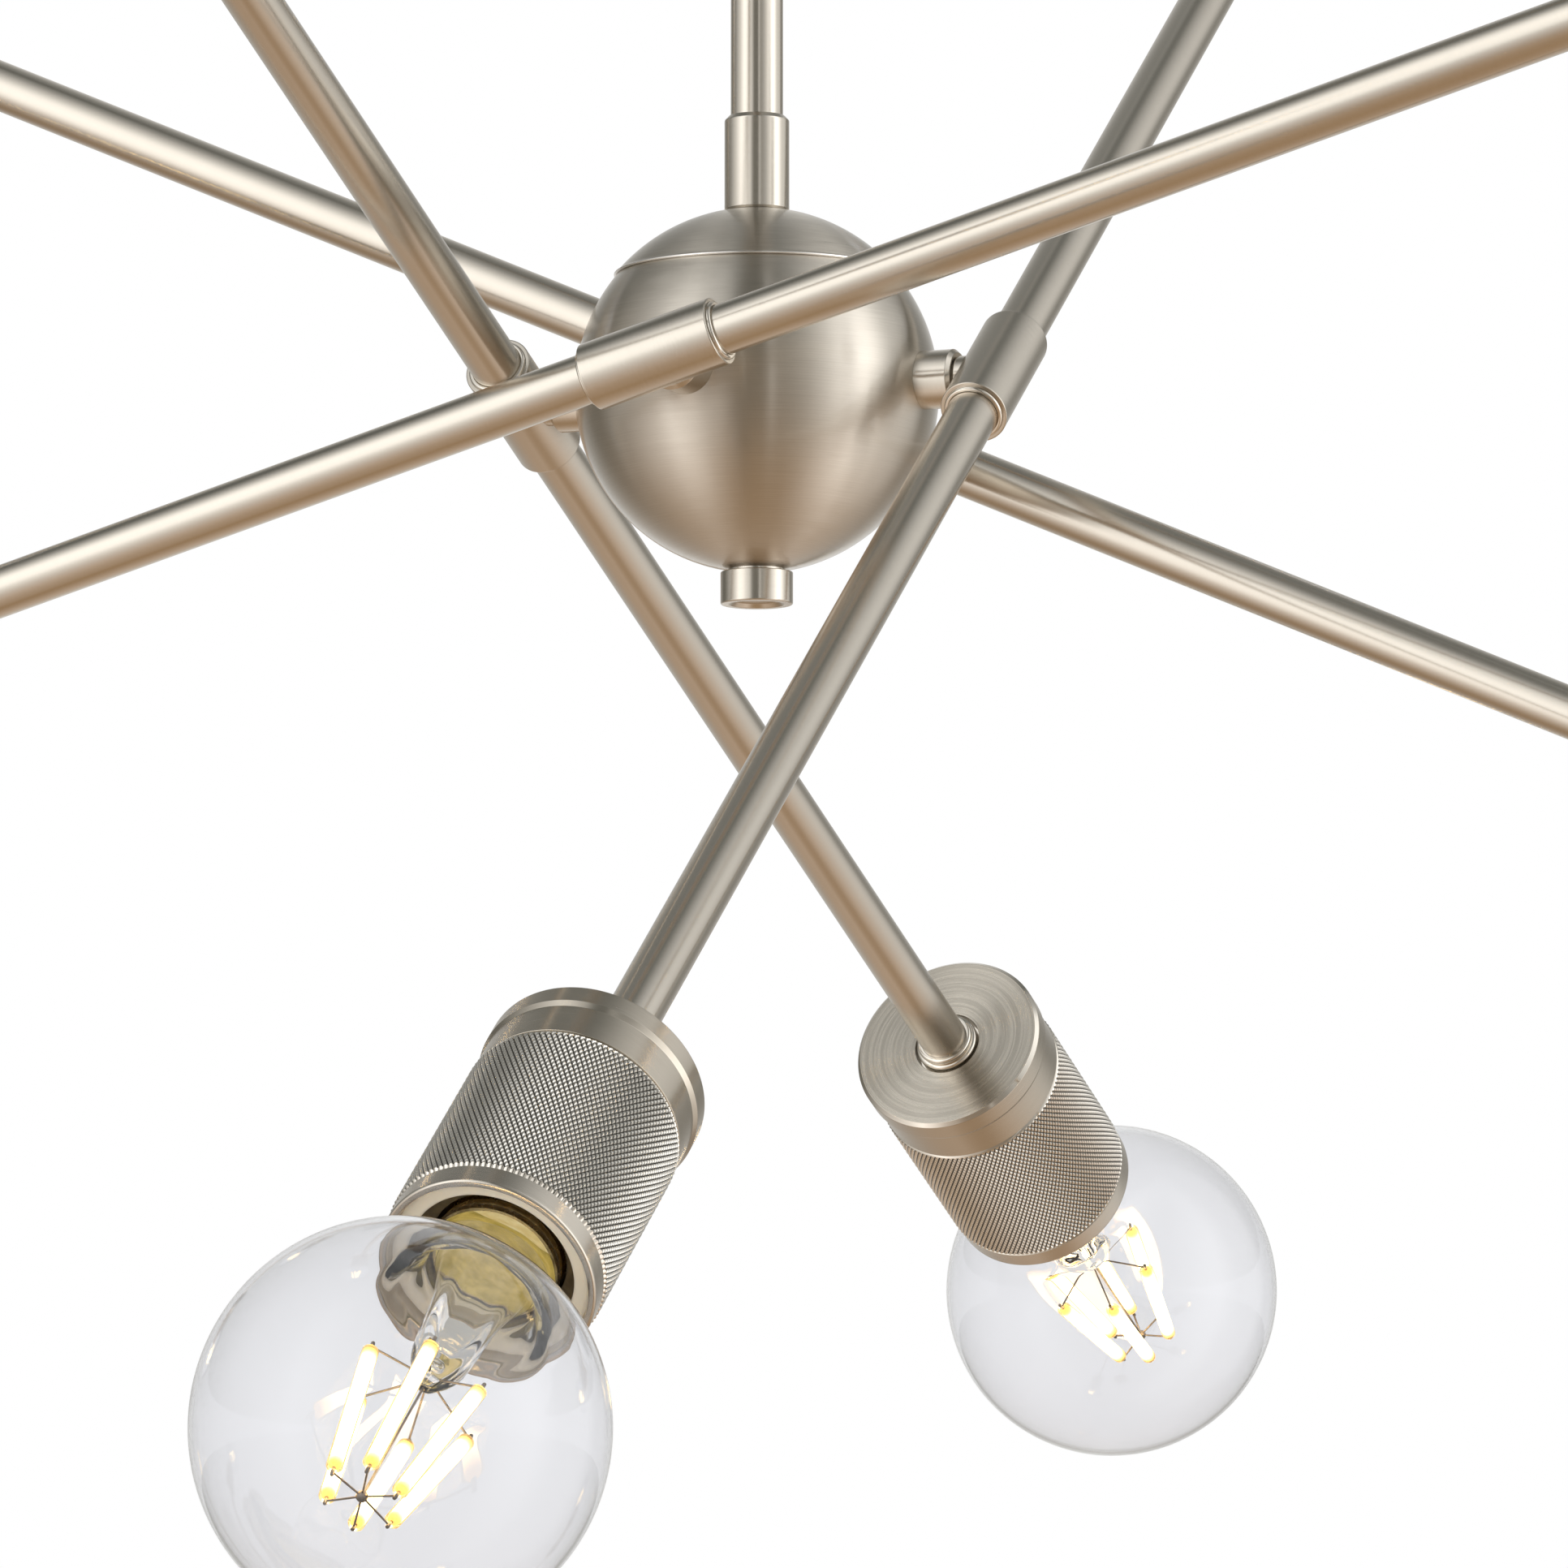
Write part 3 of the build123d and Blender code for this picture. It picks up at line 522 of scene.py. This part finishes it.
def knurled_cup():
    """Cup with a bevelled shoulder, diamond-knurled wall (flat-topped diamonds between crossing grooves) and a smooth rolled lip."""
    around = 118
    seg = around * 4
    peaks = 22
    rows_n = peaks * 4
    z0, z1 = CUP_TOP + 1.0, KNURL_END
    heights = (21.93, 22.21, 22.31)
    verts, faces = [], []
    cs = [(math.cos(2 * math.pi * k / seg), math.sin(2 * math.pi * k / seg)) for k in range(seg)]

    def ring(fn, z):
        base = len(verts)
        for k in range(seg):
            r = fn(k)
            verts.append((r * cs[k][0] * MM, r * cs[k][1] * MM, z * MM))
        return base

    def join(a, b):
        for k in range(seg):
            j = (k + 1) % seg
            faces.append((a + k, a + j, b + j, b + k))

    def groove(k, i):
        du, dv = (k + i) % 4, (k - i) % 4
        return min(du, 4 - du, dv, 4 - dv)

    # inner wall, shoulder and its bevel
    first = ring(lambda k: 20.3, CUP_TOP - 5.0)
    prev = first
    for r, z in ((21.0, CUP_TOP - 5.0), (21.0, CUP_TOP + 0.05), (21.4, CUP_TOP + 0.05), (21.5, CUP_TOP + 0.1), (22.08, CUP_TOP + 0.66), (22.13, CUP_TOP + 0.72)):
        cur = ring(lambda k, r=r: r, z)
        join(prev, cur)
        prev = cur
    for i in range(rows_n + 1):
        z = z0 + i * (z1 - z0) / rows_n
        cur = ring(lambda k: heights[groove(k, i)], z)
        if i == 0:
            join(prev, cur)
        else:
            for k in range(seg):
                j = (k + 1) % seg
                p, q, m, n = prev + k, prev + j, cur + j, cur + k
                # groove depth at the two even corners
                if (i - 1 + k) % 2 == 0:
                    even = (groove(k, i - 1), groove(k + 1, i))
                    split = max(even) == 0
                    diag = split
                else:
                    even = (groove(k + 1, i - 1), groove(k, i))
                    split = max(even) == 0
                    diag = not split
                if diag:
                    faces.append((p, q, m))
                    faces.append((p, m, n))
                else:
                    faces.append((p, q, n))
                    faces.append((q, m, n))
        prev = cur
    band = [(21.66, KNURL_END + 0.62), (21.66, KNURL_END + 0.78), (21.95, KNURL_END + 0.95), (21.95, KNURL_END + 1.3), (21.95, MOUTH - 0.9)]
    band += [(21.40 + 0.55 * math.cos(math.radians(a)), MOUTH - 0.55 + 0.55 * math.sin(math.radians(a))) for a in range(0, 91, 18)]
    band += [(20.7, MOUTH - 0.03), (20.45, MOUTH - 0.16), (20.3, MOUTH - 0.45), (20.3, MOUTH - 1.6), (20.3, 310.0)]
    for r, z in band:
        cur = ring(lambda k, r=r: r, z)
        join(prev, cur)
        prev = cur
    join(prev, first)
    me = bpy.data.meshes.new("knurled_cup")
    me.from_pydata(verts, [], faces)
    me.update()
    me.polygons.foreach_set("use_smooth", [True] * len(me.polygons))
    me.set_sharp_from_angle(angle=math.radians(28))
    me.update()
    fix_outward(me)
    # knurled faces take the second material
    for m in ("cup", "knurl", "bright"):
        me.materials.append(M[m])
    idx = []
    for p in me.polygons:
        zc, rc = p.center.z / MM, p.center.xy.length / MM
        if z0 < zc < z1 and rc > 21.5:
            idx.append(1)
        elif CUP_TOP + 0.07 < zc < z0 and rc > 21.4 or KNURL_END < zc < KNURL_END + 0.7 and rc > 21.5:
            idx.append(2)
        else:
            idx.append(0)
    me.polygons.foreach_set("material_index", idx)
    me.update()
    return me


me_cup = knurled_cup()

holder_prof = soften([(3.0, 284.5), (18.4, 284.5, 0.6), (19.9, 286.0, 0.6), (19.9, HOLDER_FACE, 0.9), (16.7, HOLDER_FACE, 0.7), (16.3, HOLDER_FACE - 4.0, 0.4), (13.7, HOLDER_FACE - 5.0), (13.7, 308.7), (5.0, 308.7), (5.0, 300.0), (3.0, 298.0), (3.0, 284.5)])
me_holder = lathe_mesh("cream_holder", holder_prof, 128)
# the hole wall below the face takes the painted shade material
two_tone(me_holder, M["cream"], M["shade"], lambda c: HOLDER_FACE - 26.0 < c.z / MM < HOLDER_FACE - 0.75 and c.xy.length / MM < 16.8)

# screw shell with a real helical-looking thread profile
BR = 12.9
shell = [(BR - 0.7, 334.2), (BR - 0.7, 333.0)]
z = 333.0
for k in range(5):
    for f in (0.12, 0.25, 0.38, 0.5, 0.62, 0.75, 0.88, 1.0):
        shell.append((BR - 0.5 + 0.5 * -math.cos(2 * math.pi * f) - 0.0, z - 3.2 * f))
    z -= 3.2
shell += [(BR - 1.6, z - 0.4), (BR - 2.2, z - 0.4), (BR - 1.3, z + 1.0), (BR - 1.3, 334.2)]
me_base = lathe_mesh("screw_shell", shell, 96, loop=True)
# the inside of the shell takes the glowing painted-light brass
two_tone(me_base, M["brass"], M["inner_brass_painted_glow"], lambda c: c.xy.length / MM < BR - 1.25)
tip = soften([(0, 309.0), (2.8, 309.0, 0.4), (4.4, 309.8, 0.4), (4.6, 310.6), (5.2, 310.6), (10.9, z - 0.8, 0.5), (10.45, z - 0.45), (10.45, z + 0.6), (0, z + 0.6)])
me_tip = lathe_mesh("base_insulator", tip, 64)
# the top of the insulator takes the glowing painted-light cement
two_tone(me_tip, M["insulator"], M["cement"], lambda c: c.z / MM > z + 0.3 and c.xy.length / MM < 10.6)


def glass_wall(inset):
    """Bulb wall from the neck over the shoulder to the crown."""
    r = BULB_R - inset
    a0 = math.radians(38.0)
    p0, p3 = np.array((13.3 - inset, 337.4)), np.array((r * math.sin(a0), BULB_CENTRE - r * math.cos(a0)))
    d0, d3 = np.array((0.0, 1.0)), np.array((math.cos(a0), math.sin(a0)))
    span = np.linalg.norm(p3 - p0)
    pts = [(13.3 - inset, 333.6), (13.3 - inset, 335.5)]
    for k in range(41):
        f = k / 40
        b = ((1 - f) ** 3 * p0 + 3 * (1 - f) ** 2 * f * (p0 + d0 * span * 0.42) + 3 * (1 - f) * f * f * (p3 - d3 * span * 0.34) + f ** 3 * p3)
        pts.append(tuple(b))
    for k in range(1, 57):
        a = math.radians(38.0 + (180.0 - 38.0) * k / 56)
        pts.append((r * math.sin(a) if k < 56 else 0.0, BULB_CENTRE - r * math.cos(a)))
    return pts


outer, inner = glass_wall(0.0), glass_wall(0.8)
me_glass = lathe_mesh("bulb_glass", outer, 144)
bm_pts = inner[::-1]


def glass_mesh():
    """Outer and inner walls joined by a rounded rim at the neck."""
    rim = [(13.3 - 0.4 + 0.4 * math.cos(math.radians(a)), 333.6 - 0.4 * math.sin(math.radians(a))) for a in (150, 120, 90, 60, 30)]
    prof = inner[::-1] + rim + outer
    return lathe_mesh("bulb_glass", prof, 144)


bpy.data.meshes.remove(me_glass)
me_glass = glass_mesh()


def step(v, a, b):
    t = min(1.0, max(0.0, (v - a) / (b - a)))
    return t * t * (3 - 2 * t)


def thicken_shoulder(me):
    """The blown wall is thicker and a little uneven where the globe meets the neck; it thins out along a wavy line."""
    zs, rs = [q[1] for q in outer], [q[0] for q in outer]
    for v in me.vertices:
        z, r = v.co.z / MM, v.co.xy.length / MM
        if not 335.0 < z < 357.0 or r > float(np.interp(z, zs, rs)) - 0.4:
            continue
        a = math.atan2(v.co.y, v.co.x)
        end = 350.7 + 0.5 * math.sin(5 * a + 0.6) + 0.28 * math.sin(9 * a + 2.1) + 0.14 * math.sin(14 * a + 4.0)
        swell = step(z, 336.5, 342.5) * (1.0 - step(z, end - 1.7, end + 1.7))
        wave = 1.0 + 0.16 * math.sin(4 * a + 1.0) + 0.12 * math.sin(7 * a + 3.0) + 0.07 * math.sin(13 * a)
        f = (r - 1.3 * swell * wave) / r
        v.co.x *= f
        v.co.y *= f


thicken_shoulder(me_glass)

stem_prof = [(0, 365.4), (1.6, 364.8), (3.2, 362.6), (4.5, 359.0), (5.7, 352.0), (6.9, 346.0), (8.6, 340.6), (9.9, 337.6), (10.2, 337.4), (10.6, 337.6), (10.2, 338.6), (8.9, 341.8), (7.8, 346.4), (7.1, 350.5), (6.8, 354.5),
             (6.5, 358.5), (6.2, 362.5), (5.8, 366.0), (5.1, 368.8), (4.2, 371.0), (3.3, 372.8), (2.4, 374.4), (1.5, 375.4), (0.7, 375.8), (0, 375.9)]
me_stem = lathe_mesh("lamp_stem", stem_prof, 72)
# the drawn tube is softly fluted towards its pressed end
for v in me_stem.vertices:
    a, z = math.atan2(v.co.y, v.co.x), v.co.z / MM
    f = 1.0 + step(z, 346.0, 358.0) * (1.0 - 0.6 * step(z, 371.0, 375.5)) * (0.05 * math.sin(4 * a + 0.7) + 0.035 * math.sin(7 * a + 2.0))
    v.co.x *= f
    v.co.y *= f
# round blow hole closed inside the pressed end: a cavity, so its skin faces inwards
hole = lathe_mesh("blow_hole", [(1.35 * math.sin(math.radians(t)) if 0 < t < 180 else 0.0, 369.2 + 1.35 * math.cos(math.radians(t))) for t in range(0, 181, 12)], 32)
n_stem = len(me_stem.vertices)
joined = bpy.data.meshes.new("lamp_stem_pressed")
joined.from_pydata([tuple(v.co) for v in me_stem.vertices] + [tuple(v.co) for v in hole.vertices], [],
                   [tuple(q.vertices) for q in me_stem.polygons] + [tuple(n_stem + i for i in reversed(q.vertices)) for q in hole.polygons])
joined.update()
joined.polygons.foreach_set("use_smooth", [True] * len(joined.polygons))
joined.set_sharp_from_angle(angle=math.radians(38.0))
joined.update()
bpy.data.meshes.remove(me_stem)
bpy.data.meshes.remove(hole)
me_stem = joined

TOP_S, LOW_S, TOP_R, LOW_R = BULB_CENTRE - 10.4, BULB_CENTRE + 21.1, 12.7, 7.6


def rod_between(verts, faces, p, q, r, seg=10, caps=True, along=None, r2=None):
    """Round bar with softened ends from p to q (mm)."""
    p, q = Vector(p), Vector(q)
    d = (q - p)
    L = d.length
    d.normalize()
    side = d.orthogonal().normalized()
    up = d.cross(side)
    stations = [(0.0, 0.0), (0.0, 0.75), (0.12, 0.93), (0.35, 1.0), (L - 0.35, 1.0), (L - 0.12, 0.93), (L, 0.75), (L, 0.0)] if L > 1.2 else [(0.0, 0.0), (0.0, 1.0), (L, 1.0), (L, 0.0)]
    rings = []
    for s, f in stations:
        c = p + d * s
        if f == 0.0:
            rings.append([len(verts)])
            verts.append(c)
            if along is not None:
                along.append(s / L)
        else:
            rr = r * f
            rings.append(list(range(len(verts), len(verts) + seg)))
            for k in range(seg):
                a = 2 * math.pi * k / seg
                verts.append(c + (side * math.cos(a) + up * math.sin(a)) * rr)
                if along is not None:
                    along.append(s / L)
    for a, b in zip(rings[:-1], rings[1:]):
        for k in range(seg):
            j = (k + 1) % seg
            if len(a) == 1:
                faces.append((a[0], b[j], b[k]))
            elif len(b) == 1:
                faces.append((a[k], a[j], b[0]))
            else:
                faces.append((a[k], a[j], b[j], b[k]))


def filament_meshes():
    sv, sf, along = [], [], []
    cv, cf = [], []
    wv, wf = [], []
    apex = Vector((0, 0, LOW_S + 0.9))
    ov, of = [], []
    for k in range(6):
        a = math.radians(60.0 * k + 3)
        ca, sa = math.cos(a), math.sin(a)
        p0, p1 = Vector((TOP_R * ca, TOP_R * sa, TOP_S)), Vector((LOW_R * ca, LOW_R * sa, LOW_S))
        u = (p1 - p0).normalized()
        rod_between(sv, sf, p0, p1, 1.15, seg=14, along=along)
        rod_between(ov, of, p0 - u * 0.35, p1 + u * 0.35, 1.65, seg=18)
        rod_between(cv, cf, p0 - u * 2.5, p0 - u * 0.36, 0.42, seg=10)
        rod_between(cv, cf, p1 + u * 0.36, p1 + u * 2.5, 0.42, seg=10)
        up_out = p0 - u * 1.2
        rod_between(wv, wf, up_out, Vector((2.6 * ca, 2.6 * sa, 373.6)), 0.22, seg=8)
        rod_between(wv, wf, p1 + u * 1.6, apex, 0.22, seg=8)
    rod_between(wv, wf, (0, 0, 375.9), (0, 0, LOW_S + 0.2), 0.26, seg=10)
    # small bead at the far end of the centre wire
    base = len(wv)
    rows = []
    for i in range(1, 8):
        th = math.pi * i / 8
        rows.append(list(range(len(wv), len(wv) + 14)))
        for k in range(14):
            ph = 2 * math.pi * k / 14
            wv.append(apex + Vector((math.sin(th) * math.cos(ph), math.sin(th) * math.sin(ph), math.cos(th))) * 1.2)
    top = len(wv); wv.append(apex + Vector((0, 0, 1.2)))
    bot = len(wv); wv.append(apex - Vector((0, 0, 1.2)))
    for a, b in zip(rows[:-1], rows[1:]):
        for k in range(14):
            j = (k + 1) % 14
            wf.append((a[k], b[k], b[j], a[j]))
    for k in range(14):
        j = (k + 1) % 14
        wf.append((top, rows[0][k], rows[0][j]))
        wf.append((bot, rows[-1][j], rows[-1][k]))
    out = []
    for name, v, f in (("sticks", sv, sf), ("clips", cv, cf), ("wires", wv, wf), ("coats", ov, of)):
        out.append(build_mesh("filament_" + name, [tuple(x * MM for x in p) for p in v], f, angle=50))
    att = out[0].attributes.new("along", "FLOAT", "POINT")
    att.data.foreach_set("value", along)
    return out


me_sticks, me_clips, me_wires, me_coats = filament_meshes()

# sleeve: cross tube with counterbored ends, and its neck
sleeve_prof = soften([(5.53, -14.2), (6.53, -14.2), (6.53, -15.25), (7.35, -15.25, 0.25), (7.35, 15.25, 0.25), (6.53, 15.25), (6.53, 14.2), (5.53, 14.2), (5.53, -14.2)])
me_sleeve = lathe_mesh("cross_sleeve", sleeve_prof, 128)
neck_prof = soften([(2.0, 24.0), (3.5, 24.0, 0.15), (3.5, 47.25), (4.7, 47.25, 0.2), (4.7, 49.2), (2.0, 49.2), (2.0, 24.0)])
me_neck = lathe_mesh("sleeve_neck", neck_prof, 64)

for arm, azimuth, tilt in ARMS:
    A = HUB @ R(azimuth, "Z") @ R(tilt, "X")
    line = A @ T(ARM_OFFSET, 0, 0)
    place(arm + "_cross_sleeve", me_sleeve, line @ R(-90, "X"), M["turned"], arm, arm + "_sleeve")
    place(arm + "_sleeve_neck", me_neck, A @ R(90, "Y"), M["turned"], arm, arm + "_sleeve")
    for end, rot in (("high", -90), ("low", 90)):
        E = line @ R(rot, "X")
        p = arm + "_" + end + "_"
        place(p + "rod", me_tube, E, M["rod"], arm, arm + "_tubes")
        place(p + "bead_ring", me_bead, E, M["bright"], arm, arm + "_polished_rings")
        place(p + "collar", me_collar, E, M["bright"], arm, arm + "_polished_rings")
        place(p + "socket_cap", me_cap, E, M["face"], arm, arm + "_socket_caps")
        place(p + "knurled_cup", me_cup, E, M["cup"], arm, arm + "_knurled_cups")
        place(p + "holder", me_holder, E, M["cream"], arm, arm + "_lampholders")
        place(p + "screw_shell", me_base, E, M["brass"], arm, arm + "_bulb_bases")
        place(p + "base_tip", me_tip, E, M["insulator"], arm, arm + "_bulb_bases")
        spin = E.to_quaternion().to_matrix().to_4x4()
        globe = me_glass.copy()
        globe.transform(spin)
        globe.update()
        place(p + "globe", globe, Matrix.Translation(E.translation), M["glass"], arm, arm + "_bulb_glasses")
        place(p + "lamp_stem", me_stem, E, M["stemglass"], arm, arm + "_bulb_filaments")
        place(p + "filaments", me_sticks, E, M["filament"], arm, arm + "_bulb_filaments")
        place(p + "filament_coats", me_coats, E, M["coat"], arm, arm + "_bulb_filaments")
        place(p + "clips", me_clips, E, M["clip"], arm, arm + "_bulb_filaments")
        place(p + "support_wires", me_wires, E, M["clip"], arm, arm + "_bulb_filaments")

# ------------------------------------------------------------------ CAD pieces that stay, with worked materials
keep = {"ceiling_crossbar": "zinc", "crossbar_screws": "zinc", "hub_fasteners": "zinc", "threaded_nipples": "zinc",
        "canopy_nuts": "hardware", "swivel_housing": "hardware", "swivel_knuckle": "hardware", "swivel_pin": "hardware",
        "stem_top_fitting": "hardware", "supply_leads": "wirecover", "stem_wiring": "wirecover"}
for arm, _, _ in ARMS:
    keep[arm + "_pivot_nut"] = "zinc"
for n, m in keep.items():
    me = nodes[n].data
    me.materials.clear()
    me.materials.append(M[m])

# canopy: spun dish with fine turned lines
co = 65.0
can_out = [(6.7, -24.0)] + [(r, -24.0) for r in (12.0, 30.0, 48.0)] + [(co - 12 + 12 * math.sin(math.radians(a)), -12 - 12 * math.cos(math.radians(a))) for a in range(0, 91, 6)] + [(co, -6.0), (co, -0.25), (co - 0.25, 0.0), (co - 1.0, 0.0), (co - 1.2, -0.2), (co - 1.2, -6.0)]
can_in = [(co - 12 + 10.8 * math.sin(math.radians(a)), -12 - 10.8 * math.cos(math.radians(a))) for a in range(90, -1, -6)] + [(48.0, -22.8), (30.0, -22.8), (12.0, -22.8), (6.7, -22.8)]
me = lathe_mesh("canopy_dish", can_out + can_in, 192, loop=True)
place("canopy_dish", me, IDENT, M["ball"], "canopy", "canopy")

# ------------------------------------------------------------------ camera
cam_data = bpy.data.cameras.new("camera")
cam = bpy.data.objects.new("camera", cam_data)
scene.collection.objects.link(cam)
scene.camera = cam
a, yaw, pitch = math.radians(22.865), math.radians(0.131), math.radians(7.024)
D, CZ, FPX = 2557.47, -400.34, 14803.7
cam.location = Vector((D * math.sin(a), -D * math.cos(a), HUB_Z + CZ)) * MM
fwd = Vector((-math.sin(a - yaw) * math.cos(pitch), math.cos(a - yaw) * math.cos(pitch), math.sin(pitch)))
cam.rotation_mode = "QUATERNION"
cam.rotation_quaternion = fwd.to_track_quat("-Z", "Y")
cam_data.sensor_fit = "HORIZONTAL"
cam_data.sensor_width = 36.0
cam_data.lens = FPX * 36.0 / 1932.0
cam_data.clip_start, cam_data.clip_end = 0.05, 100.0
right = Vector((math.cos(a - yaw), math.sin(a - yaw), 0.0))
front = Vector((-math.sin(a), math.cos(a), 0.0))


# ------------------------------------------------------------------ floor and light
def plain_floor():
    g = Tree("pale_floor")
    obj, x, y, z = g.object_xyz()
    s = g.noise(obj, 3.0, 4.0, 0.6)
    g.principled(base_color=g.mix(g.remap(s, 0.35, 0.65, 0.0, 1.0), (0.90, 0.89, 0.87), (0.94, 0.93, 0.91)), roughness=g.remap(s, 0.3, 0.7, 0.6, 0.75))
    n = 24
    verts, faces = [(0, 0, 0)], []
    for i in range(1, 5):
        for k in range(n * 2):
            ang = math.pi * k / n
            verts.append((1.5 * i * i * math.cos(ang), 1.5 * i * i * math.sin(ang), 0))
    m = n * 2
    for k in range(m):
        faces.append((0, 1 + k, 1 + (k + 1) % m))
    for i in range(3):
        for k in range(m):
            p, q = 1 + i * m + k, 1 + i * m + (k + 1) % m
            faces.append((p, p + m, q + m, q))
    me = bpy.data.meshes.new("floor")
    me.from_pydata(verts, [], faces)
    me.materials.append(g.mat)
    o = bpy.data.objects.new("floor", me)
    o.location = (0, 0, -2.4)
    o.visible_glossy = False
    scene.collection.objects.link(o)


plain_floor()


world = bpy.data.worlds.new("studio")
scene.world = world
world.use_nodes = True
w = world.node_tree
w.nodes.clear()


def wn(kind, **kw):
    n = w.nodes.new(kind)
    for k, v in kw.items():
        setattr(n, k, v)
    return n


tc = wn("ShaderNodeTexCoord")


def wdot(vec):
    d = wn("ShaderNodeVectorMath", operation="DOT_PRODUCT")
    w.links.new(tc.outputs["Generated"], d.inputs[0])
    d.inputs[1].default_value = vec
    return d.outputs["Value"]


def wmath(op, p, q=0.0):
    m = wn("ShaderNodeMath", operation=op)
    for i, v in enumerate((p, q)):
        if isinstance(v, bpy.types.NodeSocket):
            w.links.new(v, m.inputs[i])
        else:
            m.inputs[i].default_value = v
    return m.outputs[0]


def ramp(value, lo, hi, stops, interp="EASE"):
    """Colour over an angle in degrees from lo to hi."""
    r = wn("ShaderNodeValToRGB")
    r.color_ramp.interpolation = interp
    els = r.color_ramp.elements

    def colour(c):
        return (*c, 1.0) if isinstance(c, tuple) else (c, c, c, 1.0)

    els[0].position, els[0].color = (stops[0][0] - lo) / (hi - lo), colour(stops[0][1])
    els[1].position, els[1].color = (stops[-1][0] - lo) / (hi - lo), colour(stops[-1][1])
    for p, c in stops[1:-1]:
        e = els.new((p - lo) / (hi - lo))
        e.color = colour(c)
    w.links.new(wmath("DIVIDE", wmath("SUBTRACT", value, lo), hi - lo), r.inputs[0])
    return r.outputs["Color"]


def wmix(kind, p, q, f=1.0):
    m = wn("ShaderNodeMix", data_type="RGBA", blend_type=kind)
    m.inputs["Factor"].default_value = f
    w.links.new(p, [i for i in m.inputs if i.name == "A" and i.type == "RGBA"][0])
    w.links.new(q, [i for i in m.inputs if i.name == "B" and i.type == "RGBA"][0])
    return [o for o in m.outputs if o.type == "RGBA"][0]


# compass angle about the camera's side (0), + to its right, and height angle, in degrees
azim = wmath("MULTIPLY", wmath("ARCTAN2", wdot(tuple(right)), wdot(tuple(-front))), 180.0 / math.pi)
elev = wmath("MULTIPLY", wmath("ARCSINE", wdot((0.0, 0.0, 1.0))), 180.0 / math.pi)
# two soft boxes, the left one sharp on its inner edge, and a narrow strip between them
boxes = ramp(azim, -180, 180, [(-180, 0.70), (-168, 0.45), (-150, 0.18), (-134, 0.0), (-122, 0.0), (-110, 0.14), (-97, 0.36), (-84, 0.66), (-72, 1.0), (-59, 1.62), (-45, 1.5), (-33, 1.0), (-23, 0.82), (-14, 0.05),
                               (3, 0.0), (7, 0.1), (9.5, 1.3), (12, 0.2), (20, 0.22), (32, 0.40), (46, 0.85), (58, 1.4), (69, 1.85), (80, 1.95), (89, 1.3), (98, 0.78), (111, 0.70), (122, 0.56), (133, 0.05), (150, 0.18), (168, 0.45), (180, 0.70)], "LINEAR")
# the boxes end higher above the middle of the view
near_mid = wmath("MAXIMUM", wmath("SUBTRACT", 1.0, wmath("MULTIPLY", wmath("ABSOLUTE", azim, 0.0), 1.0 / 60.0)), 0.0)
low_side = wmath("MINIMUM", wmath("MAXIMUM", wmath("MULTIPLY", wmath("SUBTRACT", 10.0, elev), 0.05), 0.0), 1.0)
elev_cut = wmath("SUBTRACT", elev, wmath("MULTIPLY", wmath("MULTIPLY", near_mid, low_side), 55.0))
window = ramp(elev_cut, -90, 90, [(-90, 0.02), (-70, 0.16), (-50, 0.38), (-34, 0.60), (-20, 0.82), (-8, 0.97), (5, 1.0), (24, 1.0), (34, 0.86), (44, 0.68), (58, 0.44), (72, 0.22), (90, 0.08)], "LINEAR")
room = ramp(elev, -90, 90, [(-90, (0.42, 0.28, 0.16)), (-50, (0.44, 0.31, 0.20)), (-25, (0.30, 0.245, 0.19)), (-5, (0.20, 0.19, 0.165)), (20, (0.165, 0.165, 0.15)), (60, (0.15, 0.155, 0.145)), (90, (0.13, 0.135, 0.125))], "LINEAR")
total = wmix("ADD", room, wmix("MULTIPLY", boxes, window))
env = wn("ShaderNodeBackground")
w.links.new(total, env.inputs["Color"])
env.inputs["Strength"].default_value = 1.0
seen = wn("ShaderNodeBackground")
seen.inputs["Color"].default_value = (1.0, 1.0, 1.0, 1)
seen.inputs["Strength"].default_value = 1.0
lp = wn("ShaderNodeLightPath")
sw = wn("ShaderNodeMixShader")
through = wmath("MAXIMUM", lp.outputs["Is Camera Ray"], lp.outputs["Is Transmission Ray"])
w.links.new(through, sw.inputs[0])
w.links.new(env.outputs[0], sw.inputs[1])
w.links.new(seen.outputs[0], sw.inputs[2])
wo = wn("ShaderNodeOutputWorld")
w.links.new(sw.outputs[0], wo.inputs["Surface"])
scene.view_settings.view_transform = "Standard"
